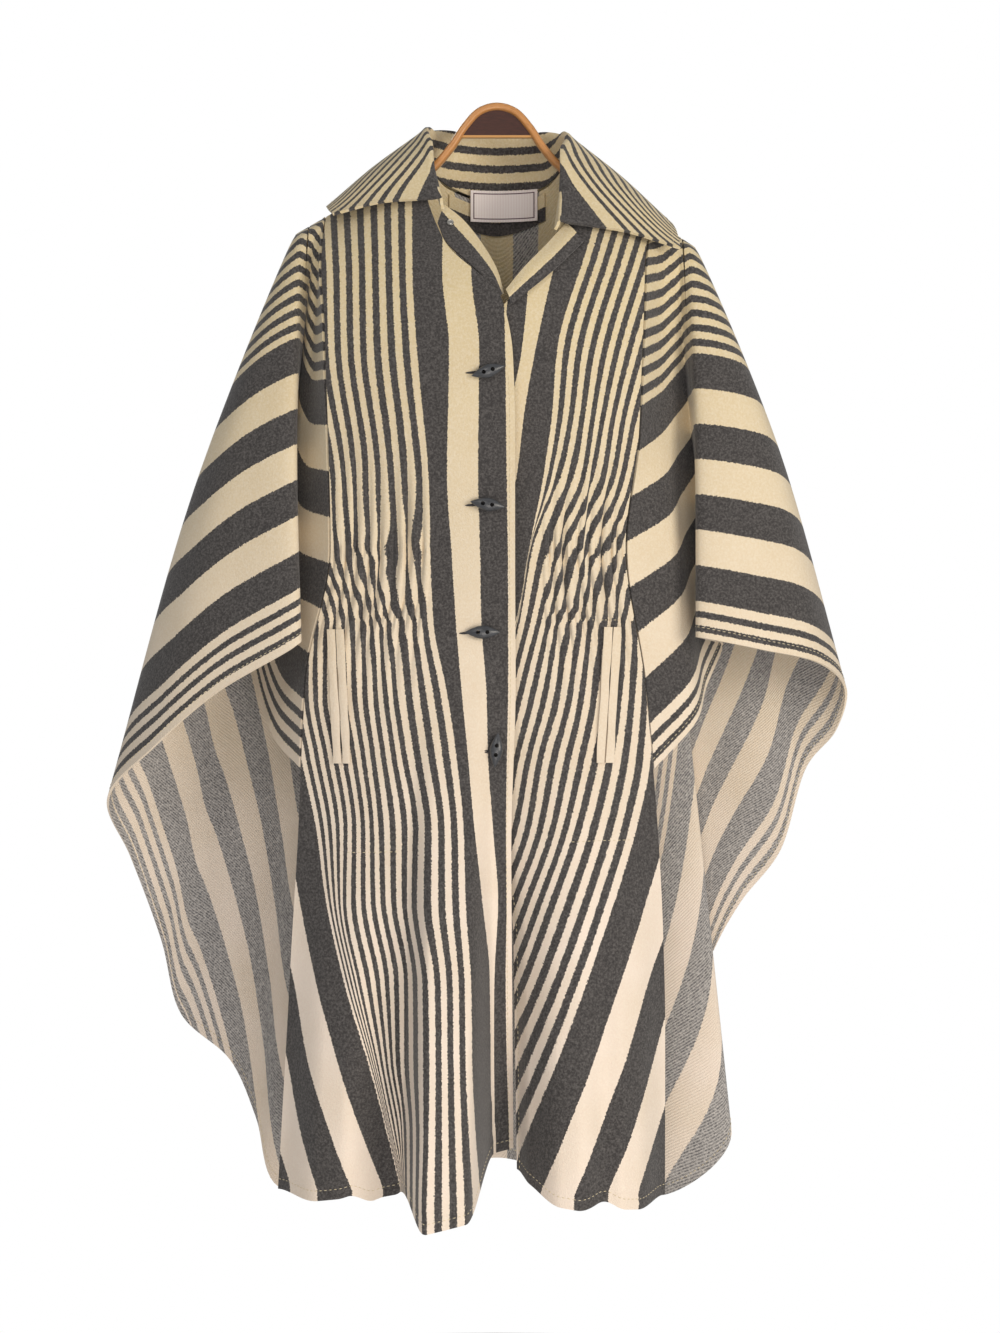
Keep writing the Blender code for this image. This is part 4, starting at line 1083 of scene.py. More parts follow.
def facing_left_sheet():
    """The turned facing of the left front, lying over the edge of its neckline."""
    edge = table(
        "roll_x roll_drop low_x low_drop",
        (68, 94, 84, 114),
        (48, 118, 62, 137),
        (27, 141, 38, 159),
        (9, 164, 14, 178),
    )
    rows = []
    for roll_x, roll_drop, low_x, low_drop in zip(*edge.values()):
        roll = laid("left", roll_x, roll_drop, WALL + ROLL_LIFT)
        low = laid("left", low_x, low_drop, WALL + LOW_LIFT)
        rows.append([roll, (roll + low) / 2 + FACING_SWELLS["left"], low])
    return through(rows, (4, 4, 4))


print("facing points:", facing_right_sheet().shape[:2], facing_left_sheet().shape[:2])

# %% [markdown]
# The facing at the back of the neck curves as the back does, so it is made from the back's own points, moved
# in by the thickness of the cloth. All three strips are then divided into smaller cells and become cloth.

# %% Facing of the neck, and all three in cloth
FACING_FINE = 5
# The threads that each facing runs between, from its sewn edge to its free edge.
FACING_THREADS = {"right": (22, 58), "left": (50, 96), "back": (58, 98)}
FACING_TOP, FACING_DEEP, FACING_ROWS, FACING_SIDE = 5, 27, 4, 3  # of the strip at the back of the neck


def finer(sheet, times):
    """A sheet with each of its cells divided."""
    for _ in range(2):
        sheet = through(sheet, [times] * (len(sheet) - 1)).swapaxes(0, 1)
    return sheet


def facing_back_sheet():
    """The facing inside the back of the neck, made from the back's own points moved in."""
    sheet = back_sheet()[::FINER]
    middle = int(np.argmin(np.abs(sheet[:, 0, 0]) + (sheet[:, 0, 1] < NAPE_Y / 2) * METRE))
    rows = []
    for column in sheet[middle - FACING_SIDE:middle + FACING_SIDE + 1]:
        z = column[0, 2] - FACING_TOP - np.linspace(0, FACING_DEEP, FACING_ROWS)
        rows.append(np.stack([np.interp(-z, -column[:, 2], column[:, k]) for k in range(3)], axis=1))
    rows = np.array(rows)
    return rows + normals(rows) * (WALL + SEAM)


def strip_threads(points, ends):
    """Thread numbers that go evenly from one long edge of a strip to the other."""
    share = np.linspace(0, 1, points.shape[1])
    return np.broadcast_to(ends[0] + (ends[1] - ends[0]) * share, points.shape[:2])


FACINGS = {"right": facing_right_sheet(), "left": facing_left_sheet()[::-1], "back": facing_back_sheet()}
for place, coarse in FACINGS.items():
    points = finer(coarse, FACING_FINE)
    strip = cloth(f"facing_{place}_cloth", points, strip_threads(points, FACING_THREADS[place]), WOOL, WOOL)
    PIECES[f"facing_{place}"] = finished(strip, "striped_wool", f"facing_{place}")
    SHEETS[f"facing_{place}"] = points


# %% [markdown]
# ## Pocket mouths
#
# Each pocket is a slit between two narrow lips, cut from a cream stripe and pressed flat. A lip is a strip
# on the front, a little proud of it and crowned across. Two strips with a slit between them cast a fine dark
# line, and a groove in the cloth would need a much finer grid for the same.

# %% Pocket lips
WELT_WIDTH, WELT_SLIT, WELT_POINTS = 7.4, 1.4, 9
WELT_PROUD = 0.5
LIP_FINE, LIP_CROWN, LIP_WALL = 6, 0.5, 1.8
LIP_THREAD = 60  # the middle of a cream stripe


def welt_sheet(side, offset):
    """One lip of a pocket mouth, laid on the front's points."""
    p = POCKETS[side]
    rows = []
    for across in (offset - WELT_WIDTH / 2, offset, offset + WELT_WIDTH / 2):
        line = []
        for share in np.linspace(0, 1, WELT_POINTS):
            x = p["top_x"] + (p["low_x"] - p["top_x"]) * share + across
            drop = p["top_drop"] + (p["low_drop"] - p["top_drop"]) * share
            crest = GATHER_DEPTH * bell((drop - GATHER_DROP) / GATHER_SPREAD)
            line.append(on_front(side, x, drop, WALL + SEAM + WELT_PROUD + crest))
        rows.append(line)
    return np.array(rows)


for side in SIDES:
    for lip, toward in (("outer", 1), ("inner", -1)):
        shift = toward * SIDES[side] * (WELT_WIDTH + WELT_SLIT) / 2
        points = finer(welt_sheet(side, shift), LIP_FINE)
        points[..., 1] -= LIP_CROWN * np.sin(math.pi * np.linspace(0, 1, len(points)))[:, None]
        threads = np.full(points.shape[:2], float(LIP_THREAD))
        strip = cloth(f"pocket_lip_{side}_{lip}", points, threads, WOOL, WOOL, LIP_WALL)
        PIECES[f"welt_{side}_{lip}"] = finished(strip, "striped_wool", f"welt_{side}_{lip}")
        SHEETS[f"welt_{side}_{lip}"] = points

# %% [markdown]
# ## Sewing
#
# The hems are turned up and held by a row of machine stitches, and so are the edges of the opening and the
# collar. On the dark stripes they show as pale dashes. One stitch is modelled, a short bead of thread with
# few faces, and copied along a line that lies on the cloth. A texture could draw them too, but beads catch
# the light from every side.

# %% Sewing thread
TWIST_MM = 0.6


def sewing_thread():
    """Mercerised cotton thread: twisted, so that it has a fine slant and a slight gloss."""
    made, tree, shader = new_material("cotton_sewing_thread")
    place = node(tree, "ShaderNodeTexCoord").outputs["Object"]
    fine = {"Vector": place, "Scale": METRE / TWIST_MM, "Detail": 2.0}
    twist = node(tree, "ShaderNodeTexNoise", fine).outputs[0]
    ends = {0: twist, 6: linear("#C9B993"), 7: linear("#EFE4C8")}
    colour = node(tree, "ShaderNodeMix", ends, data_type="RGBA").outputs[2]
    bump = node(tree, "ShaderNodeBump", {"Height": twist, "Strength": 0.4, "Distance": 0.0003}).outputs[0]
    joined(tree, shader, {"Base Color": colour, "Normal": bump, "Roughness": 0.6})
    return made


THREAD = sewing_thread()
print("thread:", THREAD.name)

# %% [markdown]
# A stitch lies along its row, flat on the cloth. Three directions turn the bead: ahead along the line, up
# from the cloth, and across both. The whole row is one mesh, because hundreds of objects would be slow.

# %% Stitches
STITCH_LENGTH, STITCH_PITCH, STITCH_THICK = 3.4, 5.2, 0.75
STITCHED = {}  # rows of stitches on each piece


def one_stitch():
    """The points and faces of a single stitch, one unit long and thick."""
    bpy.ops.object.select_all(action="DESELECT")
    bpy.ops.mesh.primitive_uv_sphere_add(segments=6, ring_count=4, radius=0.5)
    bead = bpy.context.object
    points = np.array([vert.co for vert in bead.data.vertices])
    faces = [tuple(face.vertices) for face in bead.data.polygons]
    bpy.data.objects.remove(bead)
    return points, faces


def stitch_row(name, line, faced, on):
    """A row of stitches along a line of points, on the side that the normals face."""
    run = np.concatenate([[0], np.cumsum(np.linalg.norm(np.diff(line, axis=0), axis=1))])
    at = np.arange(STITCH_PITCH / 2, run[-1], STITCH_PITCH)
    middle = np.stack([np.interp(at, run, line[:, k]) for k in range(3)], axis=1)
    ahead = np.stack([np.interp(at + 1, run, line[:, k]) for k in range(3)], axis=1) - middle
    up = np.stack([np.interp(at, run, faced[:, k]) for k in range(3)], axis=1)
    up /= np.linalg.norm(up, axis=1, keepdims=True)
    ahead -= up * np.sum(ahead * up, axis=1, keepdims=True)
    ahead /= np.linalg.norm(ahead, axis=1, keepdims=True) + 1e-9
    beside = np.cross(up, ahead)
    bead, faces = one_stitch()
    size = bead * (STITCH_LENGTH, STITCH_THICK, STITCH_THICK)
    turned = (size[None, :, :1] * ahead[:, None] + size[None, :, 1:2] * beside[:, None]
              + size[None, :, 2:] * up[:, None] + middle[:, None])
    mesh = bpy.data.meshes.new(name)
    count = len(bead)
    copies = [tuple(k + n * count for k in face) for n in range(len(at)) for face in faces]
    mesh.from_pydata((turned.reshape(-1, 3) * MM).tolist(), [], copies)
    mesh.materials.append(THREAD)
    mesh.shade_smooth()
    row = bpy.data.objects.new(name, mesh)
    bpy.context.scene.collection.objects.link(row)
    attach(row, "root")
    STITCHED.setdefault(on, []).append(row)


print("stitch faces:", len(one_stitch()[1]))


# %% [markdown]
# A row of stitches keeps the same distance from the edge all the way. So the line is found on the sheet, by
# going up each column from its end, and lifted to the face of the cloth.

# %% Rows along the hems and edges
HEM_IN, EDGE_IN, COLLAR_IN = 10, 5, 7  # from each edge to its stitches
STITCH_OFF = 0.1  # how far the middle of a stitch stands off the face
OPENING_TOP = 245  # the drop where the stitches of the opening start


def facing_out(sheet):
    """Unit normals on the right side of a sheet."""
    faced = np.cross(np.gradient(sheet, axis=0), np.gradient(sheet, axis=1))
    return faced / np.linalg.norm(faced, axis=-1, keepdims=True)


def hem_line(sheet, faced, deep):
    """Points a little above the end of each column of a sheet, and the normals there."""
    line, turned = [], []
    for column, normal in zip(sheet[:, ::-1], faced[:, ::-1]):
        run = np.concatenate([[0], np.cumsum(np.linalg.norm(np.diff(column, axis=0), axis=1))])
        line.append([np.interp(deep, run, column[:, k]) for k in range(3)])
        turned.append([np.interp(deep, run, normal[:, k]) for k in range(3)])
    return np.array(line), np.array(turned)


def sewn_on(line, faced, wall=WALL):
    """The line where stitches lie, half sunk in the face of the cloth."""
    return line + faced * (wall / 2 + STITCH_OFF)


SHEETS["back"], SHEETS["collar"] = back_sheet(), collar
for side in SIDES:
    SHEETS[f"front_{side}"] = front_sheet(side)[::-SIDES[side]]
    SHEETS[f"wing_front_{side}"] = wing_front_sheet(side)[::-SIDES[side]]
for place in ("back", "collar", "front_right", "front_left", "wing_front_right", "wing_front_left"):
    sheet = SHEETS[place]
    wall, deep = (COLLAR_WALL, COLLAR_IN) if place == "collar" else (WALL, HEM_IN)
    line, faced = hem_line(sheet, facing_out(sheet), deep)
    stitch_row(f"hem_stitches_{place}", sewn_on(line, faced, wall), faced, place)
line, faced = hem_line(SHEETS["back"], facing_out(SHEETS["back"]), HEM_IN)
stitch_row("hem_stitches_inside", sewn_on(line, -faced), -faced, "back")
for side in SIDES:
    opening = [SHEETS[f"front_{side}"], facing_out(SHEETS[f"front_{side}"])]
    rows = [item[::SIDES[side]].swapaxes(0, 1) for item in opening]
    line, faced = hem_line(*rows, EDGE_IN)
    low = line[:, 2] < -OPENING_TOP
    stitch_row(f"opening_stitches_{side}", sewn_on(line, faced)[low], faced[low], f"front_{side}")
print("stitch rows:", sum(len(rows) for rows in STITCHED.values()))

# %% [markdown]
# The pocket bags hang inside, and short rows of stitches hold them to the fronts. They show only where they
# cross a dark stripe.

# %% Rows that hold the pocket bags
BAG_ROWS = table(
    "side drop start end", ("left", 484, 66, 118), ("left", 696, 70, 128), ("right", 705, 93, 147)
)
BAG_POINTS = 24


def across_front(side, drop, start, end):
    """Points of a front's sheet along a level line, and the normals there."""
    sheet = SHEETS[f"front_{side}"]
    faced, places = facing_out(sheet), []
    for out in np.linspace(start, end, BAG_POINTS):
        off = (sheet[..., 0] - SIDES[side] * out) ** 2 + (sheet[..., 2] + drop) ** 2
        places.append(np.unravel_index(np.argmin(off), off.shape))
    places = tuple(np.array(places).T)
    return sheet[places], faced[places]


for number, (side, drop, start, end) in enumerate(zip(*BAG_ROWS.values()), start=1):
    line, faced = across_front(side, drop, start, end)
    stitch_row(f"bag_stitches_{number}", sewn_on(line, faced), faced, f"front_{side}")
print("bag rows:", number)

# %% [markdown]
# ## Toggles and press stud
#
# The toggles are turned from horn and dyed: boat-shaped, with two holes for the sewing thread and a polish
# that shows as a long bright streak. Each passes through a buttonhole, a slit bound with close stitches. A
# sphere drawn out to points gives the boat, and two cylinders cut its holes.

# %% Horn
TOGGLES = table(
    "x drop turn lift",
    (-8.5, 244, 17, 0.1),
    (-8.5, 372, -9, 0.3),
    (-14, 495, 0, 0.3),
    (-2, 610, 84, 0.5),
)
TOGGLE_LENGTH, TOGGLE_HEIGHT, TOGGLE_DEPTH = 34, 13, 9
TOGGLE_HOLE, TOGGLE_HOLE_APART = 4, 9
HORN_MM, HORN_DRAWN = 7, (1, 2.5, 4)  # the layers of the horn, drawn out along the toggle
YARN_MM = 0.8


def polished_horn():
    """Dyed horn: dense, layered along its length and polished, so that it is dark with a clear gloss."""
    made, tree, shader = new_material("dyed_polished_horn")
    place = node(tree, "ShaderNodeTexCoord").outputs["Object"]
    drawn = node(tree, "ShaderNodeMapping", {"Vector": place, "Scale": HORN_DRAWN}).outputs[0]
    grown = {"Vector": drawn, "Scale": METRE / HORN_MM, "Detail": 5.0}
    layers = node(tree, "ShaderNodeTexNoise", grown).outputs[0]
    ends = {0: layers, 6: linear("#26282B"), 7: linear("#55585E")}
    colour = node(tree, "ShaderNodeMix", ends, data_type="RGBA").outputs[2]
    rough = node(tree, "ShaderNodeMapRange", {"Value": layers, "To Min": 0.22, "To Max": 0.42}).outputs[0]
    bump = node(tree, "ShaderNodeBump", {"Height": layers, "Strength": 0.15, "Distance": 0.0004}).outputs[0]
    joined(tree, shader, {"Base Color": colour, "Roughness": rough, "Normal": bump, "IOR": 1.55})
    return made


def buttonhole_thread():
    """Dark wool yarn, wound closely round the slit."""
    made, tree, shader = new_material("dark_buttonhole_yarn")
    place = node(tree, "ShaderNodeTexCoord").outputs["Object"]
    fine = {"Vector": place, "Scale": METRE / YARN_MM, "Detail": 2.0}
    twist = node(tree, "ShaderNodeTexNoise", fine).outputs[0]
    ends = {0: twist, 6: linear("#232225"), 7: linear("#4A484B")}
    colour = node(tree, "ShaderNodeMix", ends, data_type="RGBA").outputs[2]
    joined(tree, shader, {"Base Color": colour, "Roughness": 0.85})
    return made


HORN, DARK_YARN = polished_horn(), buttonhole_thread()
print("finishes:", HORN.name, DARK_YARN.name)

# %% [markdown]
# One toggle and one buttonhole are modelled at the origin, and each of the four is a copy with its own mesh,
# turned as it hangs. A linked copy would be lighter, but these pieces end with their place in the mesh.

# %% One toggle
BOAT_POINT = 1.7  # higher is fuller towards the toggle's two ends


def settled(piece, look):
    """Writes a piece's place into its mesh, smooths it and gives it its finish."""
    bpy.ops.object.select_all(action="DESELECT")
    piece.select_set(True)
    bpy.context.view_layer.objects.active = piece
    bpy.ops.object.transform_apply(location=True, rotation=True, scale=True)
    bpy.ops.object.shade_smooth_by_angle(angle=math.radians(40))
    piece.data.materials.clear()
    piece.data.materials.append(look)
    return piece


def one_toggle():
    """A boat-shaped toggle with two sewing holes, lying along X at the origin."""
    bpy.ops.object.select_all(action="DESELECT")
    bpy.ops.mesh.primitive_uv_sphere_add(segments=40, ring_count=28, radius=1)
    boat = bpy.context.object
    for vert in boat.data.vertices:
        along = vert.co.z
        round_half = max(math.sqrt(max(1 - along ** 2, 0)), 1e-6)
        slim = (1 - abs(along) ** BOAT_POINT) / round_half if abs(along) < 0.999 else 0
        size = (TOGGLE_LENGTH * along, TOGGLE_DEPTH * vert.co.y * slim, TOGGLE_HEIGHT * vert.co.x * slim)
        vert.co = [part / 2 * MM for part in size]
    for sign in (-1, 1):
        bpy.ops.object.select_all(action="DESELECT")
        bpy.ops.mesh.primitive_cylinder_add(
            vertices=24, radius=TOGGLE_HOLE / 2 * MM, depth=3 * TOGGLE_DEPTH * MM,
            location=(sign * TOGGLE_HOLE_APART / 2 * MM, 0, 0), rotation=(math.radians(90), 0, 0),
        )
        drill = bpy.context.object
        bpy.context.view_layer.objects.active = boat
        hole = boat.modifiers.new("Hole", "BOOLEAN")
        hole.operation = "DIFFERENCE"
        hole.object = drill
        bpy.ops.object.modifier_apply(modifier=hole.name)
        bpy.data.objects.remove(drill)
    bpy.ops.object.select_all(action="DESELECT")
    boat.select_set(True)
    bpy.ops.object.mode_set(mode="EDIT")
    bpy.ops.mesh.select_all(action="SELECT")
    bpy.ops.mesh.normals_make_consistent(inside=False)
    bpy.ops.object.mode_set(mode="OBJECT")
    return boat


boat = one_toggle()
print("toggle faces:", len(boat.data.polygons))

# %% [markdown]
# A buttonhole is a slit whose edges are oversewn with yarn, so that it looks like a long flat ring. A torus
# that is drawn out sideways and nearly closed in the middle gives that ring without sewing every turn.

# %% One buttonhole
BUTTONHOLE_HALF, BUTTONHOLE_HIGH, BUTTONHOLE_TURN = 12, 1.3, 4
BUTTONHOLE_OUT, BUTTONHOLE_LOW = 9, 1  # from each toggle's middle to its buttonhole's


def one_buttonhole():
    """A bound slit: a long flat ring of yarn whose middle is nearly closed, lying along X."""
    bpy.ops.object.select_all(action="DESELECT")
    bpy.ops.mesh.primitive_torus_add(
        major_segments=48, minor_segments=12, major_radius=0.6, minor_radius=0.5
    )
    ring = bpy.context.object
    ring.scale = [part * MM for part in (BUTTONHOLE_HALF, BUTTONHOLE_HIGH, BUTTONHOLE_HIGH)]
    bpy.ops.object.transform_apply(location=False, rotation=False, scale=True)
    return ring


ring = one_buttonhole()
print("buttonhole faces:", len(ring.data.polygons))


# %% [markdown]
# Each toggle hangs at its own angle. It is set on the point of the front nearest to its place, so that it
# follows the cloth if the drape is changed.

# %% The four toggles
def copied(model, name, look, place, turns):
    """A copy of a modelled piece with its own mesh, turned and put in its place."""
    twin = model.copy()
    twin.data = model.data.copy()
    twin.name = twin.data.name = name
    bpy.context.scene.collection.objects.link(twin)
    twin.location = [part * MM for part in place]
    twin.rotation_euler = [math.radians(turn) for turn in turns]
    return settled(twin, look)


for number, (x, drop, turn, lift) in enumerate(zip(*TOGGLES.values()), start=1):
    slit_place = on_front("right", x - BUTTONHOLE_OUT, drop + BUTTONHOLE_LOW, WALL / 2)
    slit = copied(ring, f"buttonhole_{number}", DARK_YARN, slit_place, (90, -BUTTONHOLE_TURN, 0))
    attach(slit, "root")
    STITCHED.setdefault("front_right", []).append(slit)
    place = on_front("right", x, drop, WALL / 2 + SEAM + lift + TOGGLE_DEPTH / 2)
    twin = copied(boat, f"horn_toggle_{number}", HORN, place, (0, -turn, 0))
    finished(twin, "toggle_horn", f"toggle_{number}")
bpy.data.objects.remove(boat)
bpy.data.objects.remove(ring)


# %% [markdown]
# The press stud at the neck is a cap stamped from thin plate. Insets on the end of a cylinder step it the
# way the die does, and a bevel rolls its rim. A lathed outline would do too, but insets need no curve.

# %% Press stud
STUD_RADIUS, STUD_HEIGHT, STUD_RIM, STUD_LIFT = 3.4, 1.8, 0.25, 1
STUD_STEPS = ((0.6, 0), (0.3, -0.5), (0.7, 0), (0.3, 0.6))  # insets from the rim inwards: width and rise
STUD_AT = (2, 1)  # the point of the right facing that it sits on
SPOT_MM = 1.2


def nickel():
    """Nickel plate, stamped: a bright metal with fine turning marks and dull spots."""
    made, tree, shader = new_material("stamped_nickel_plate")
    place = node(tree, "ShaderNodeTexCoord").outputs["Object"]
    dull = {"Vector": place, "Scale": METRE / SPOT_MM, "Detail": 3.0}
    spots = node(tree, "ShaderNodeTexNoise", dull).outputs[0]
    ends = {0: spots, 6: linear("#A9A7A2"), 7: linear("#E4E2DC")}
    colour = node(tree, "ShaderNodeMix", ends, data_type="RGBA").outputs[2]
    rough = node(tree, "ShaderNodeMapRange", {"Value": spots, "To Min": 0.2, "To Max": 0.45}).outputs[0]
    joined(tree, shader, {"Base Color": colour, "Roughness": rough, "Metallic": 1.0})
    return made


def press_stud():
    """A stamped cap: a disc with a rolled rim, a sunk ring and a raised middle."""
    sheet = facing_right_sheet()
    point, normal = sheet[STUD_AT], normals(sheet)[STUD_AT]
    bpy.ops.object.select_all(action="DESELECT")
    bpy.ops.mesh.primitive_cylinder_add(
        vertices=40, radius=STUD_RADIUS * MM, depth=STUD_HEIGHT * MM, end_fill_type="NGON"
    )
    cap = bpy.context.object
    cap.name = "press_stud"
    bpy.ops.object.mode_set(mode="EDIT")
    bpy.ops.mesh.select_all(action="DESELECT")
    bpy.ops.object.mode_set(mode="OBJECT")
    for face in cap.data.polygons:
        face.select = face.normal.z > 0.9
    bpy.ops.object.mode_set(mode="EDIT")
    for thickness, depth in STUD_STEPS:
        bpy.ops.mesh.inset(thickness=thickness * MM, depth=depth * MM)
    bpy.ops.object.mode_set(mode="OBJECT")
    edges = cap.modifiers.new("Rolled", "BEVEL")
    edges.width, edges.segments = STUD_RIM * MM, 3
    bpy.ops.object.modifier_apply(modifier=edges.name)
    cap.location = [part * MM for part in point + normal * (WALL / 2 + SEAM + STUD_LIFT)]
    cap.rotation_euler = Vector(normal).to_track_quat("Z", "Y").to_euler()
    return settled(cap, nickel())


finished(press_stud(), "snap_metal", "neck_snap")

# %% [markdown]
# ## Label
#
# A woven satin tab sewn in at the back of the neck. It is left bare, with only a plain line near its edge,
# drawn by its material from the tab's own UV map.


# %% Satin label
LABEL = {"left_x": -27, "right_x": 41, "top_z": -43, "low_z": -75}
LABEL_WALL = 1.0
LABEL_EDGE, LABEL_LINE = 3.2, 1.1
LABEL_COLUMNS, LABEL_ROWS, LABEL_FINE = 7, 4, 6
LABEL_IN, LABEL_LEAN = 4.9, 0.02  # how far inside the neck's curve it lies, and how much more at its ends
WARP_MM, WARP_TURN = 1.4, 6.28  # the warp's pitch, and a wave's full turn
LABEL_WIDE, LABEL_HIGH = LABEL["right_x"] - LABEL["left_x"], LABEL["top_z"] - LABEL["low_z"]


def label_sheet():
    """The sewn-in label, bent to the curve of the neck just inside the collar and the facing."""
    x = np.linspace(LABEL["left_x"], LABEL["right_x"], LABEL_COLUMNS)
    z = np.linspace(LABEL["top_z"], LABEL["low_z"], LABEL_ROWS)
    x, z = np.meshgrid(x, z, indexing="ij")
    neck = RIDGE["left"]["neck_out"]
    y = NAPE_Y * np.sqrt(1 - (x / neck) ** 2) - LABEL_IN - LABEL_LEAN * np.abs(x)
    return np.stack([x, y, z], axis=-1)


def satin():
    """Woven satin: fine shining warp threads, with a plum line woven in near the edge."""
    made, tree, shader = new_material("woven_satin")
    place = node(tree, "ShaderNodeUVMap", uv_map="Threads").outputs[0]
    split = node(tree, "ShaderNodeSeparateXYZ", {0: place})
    inner = None
    middles = (LABEL_WIDE / 2, -(LABEL["top_z"] + LABEL["low_z"]) / 2)
    for output, middle, size in zip(split.outputs, middles, (LABEL_WIDE, LABEL_HIGH)):
        off = node(tree, "ShaderNodeMath", {0: output, 1: middle * MM}, operation="SUBTRACT").outputs[0]
        away = node(tree, "ShaderNodeMath", {0: off}, operation="ABSOLUTE").outputs[0]
        near = node(tree, "ShaderNodeMath", {0: size / 2 * MM, 1: away}, operation="SUBTRACT").outputs[0]
        nearer = {0: near, 1: near if inner is None else inner}
        inner = node(tree, "ShaderNodeMath", nearer, operation="MINIMUM").outputs[0]
    spot = {0: inner, 1: LABEL_EDGE * MM, 2: LABEL_LINE / 2 * MM}
    border = node(tree, "ShaderNodeMath", spot, operation="COMPARE").outputs[0]
    shine = {"Vector": place, "Scale": METRE / WARP_MM / WARP_TURN, "Distortion": 0.6, "Detail": 2.0}
    warp = node(tree, "ShaderNodeTexWave", shine).outputs[1]
    # The ground's two whites are painted lighter than the satin is: painted light, since the tab hangs in
    # shade inside the neck.
    ends = {0: warp, 6: linear("#F4E9E7"), 7: linear("#FBF3F1")}
    ground = node(tree, "ShaderNodeMix", ends, data_type="RGBA").outputs[2]
    ends = {0: border, 6: ground, 7: linear("#5A3A48")}
    colour = node(tree, "ShaderNodeMix", ends, data_type="RGBA").outputs[2]
    bump = node(tree, "ShaderNodeBump", {"Height": warp, "Strength": 0.25, "Distance": 0.0003}).outputs[0]
    joined(tree, shader, {"Base Color": colour, "Normal": bump, "Roughness": 0.42, "Sheen Weight": 0.3})
    return made


points = finer(label_sheet(), LABEL_FINE)
satin_look = satin()
tab = cloth("label_tab", points, points[..., 0] - LABEL["left_x"], satin_look, satin_look, LABEL_WALL)
SHEETS["label"] = points
PIECES["label"] = finished(tab, "label_satin", "label")

# %% [markdown]
# ## Hanger
#
# A strip of pale beech, steamed and bent into an arch that runs out into the arms, with a dark stained panel
# let into the arch. The strip is a tube, made from a grid whose long edges meet, and its grain follows it.


# %% Bent beech
GRAIN_MM, RAY_MM = (2.5, 40), (0.9, 7)  # across and along the strip


def lacquered_beech():
    """Bent beech under clear lacquer: straight grain with short dark rays, and a smooth coat."""
    made, tree, shader = new_material("lacquered_bent_beech")
    place = node(tree, "ShaderNodeUVMap", uv_map="Threads").outputs[0]
    long_way = {"Vector": place, "Scale": (*[METRE / size for size in GRAIN_MM], 1)}
    drawn = node(tree, "ShaderNodeMapping", long_way).outputs[0]
    grain = node(tree, "ShaderNodeTexNoise", {"Vector": drawn, "Scale": 1.0, "Detail": 6.0}).outputs[0]
    short_way = {"Vector": place, "Scale": (*[METRE / size for size in RAY_MM], 1)}
    rays = node(tree, "ShaderNodeMapping", short_way).outputs[0]
    flecks = node(tree, "ShaderNodeTexNoise", {"Vector": rays, "Scale": 1.0, "Detail": 2.0}).outputs[0]
    dark = node(tree, "ShaderNodeMapRange", {"Value": flecks, "From Min": 0.58, "From Max": 0.75}).outputs[0]
    ends = {0: grain, 6: linear("#B8793F"), 7: linear("#DFA465")}
    ground = node(tree, "ShaderNodeMix", ends, data_type="RGBA").outputs[2]
    ends = {0: dark, 6: ground, 7: linear("#8E5527")}
    colour = node(tree, "ShaderNodeMix", ends, data_type="RGBA").outputs[2]
    bump = node(tree, "ShaderNodeBump", {"Height": grain, "Strength": 0.12, "Distance": 0.0004}).outputs[0]
    joined(tree, shader, {"Base Color": colour, "Normal": bump, "Roughness": 0.42, "Coat Weight": 0.5,
                          "Coat Roughness": 0.18})
    return made


BEECH = lacquered_beech()
print("wood:", BEECH.name)

# %% [markdown]
# The panel's stain is dark and worn in streaks along its grain. A pale band is painted along its lower
# edge, which the height of each point picks out, so that the plate needs no second material.

# %% Stained plywood
STREAK_MM = (9, 3, 1.6)
PANEL_PALE_BAND = 2.2  # how high the pale band along the panel's lower edge is painted


def stained_panel():
    """Dark stained plywood with worn streaks, and a pale band painted along its lower edge."""
    made, tree, shader = new_material("dark_stained_plywood")
    place = node(tree, "ShaderNodeTexCoord").outputs["Object"]
    drawn = node(tree, "ShaderNodeMapping", {"Vector": place, "Scale": [METRE / size for size in STREAK_MM]})
    streaks = {"Vector": drawn.outputs[0], "Scale": 1.0, "Detail": 5.0}
    grain = node(tree, "ShaderNodeTexNoise", streaks).outputs[0]
    ends = {0: grain, 6: linear("#2A1410"), 7: linear("#552C1F")}
    ground = node(tree, "ShaderNodeMix", ends, data_type="RGBA").outputs[2]
    height = node(tree, "ShaderNodeSeparateXYZ", {0: place}).outputs[2]
    # A pale band is painted on the panel below this height, along its lower edge.
    pale_band = node(tree, "ShaderNodeMath", {0: height, 1: PANEL_PALE_BAND * MM}, operation="LESS_THAN").outputs[0]
    ends = {0: pale_band, 6: ground, 7: linear("#CF9A5C")}
    colour = node(tree, "ShaderNodeMix", ends, data_type="RGBA").outputs[2]
    bump = node(tree, "ShaderNodeBump", {"Height": grain, "Strength": 0.2, "Distance": 0.0004}).outputs[0]
    joined(tree, shader, {"Base Color": colour, "Normal": bump, "Roughness": 0.36, "Coat Weight": 0.3,
                          "Coat Roughness": 0.25})
    return made


PLYWOOD = stained_panel()
print("wood:", PLYWOOD.name)

# %% [markdown]
# The strip widens from the arch to the arms, and its section is a square with rounded corners. A bevelled
# curve has one section all along, so the rings of the tube are worked out instead, one set along the whole
# path.

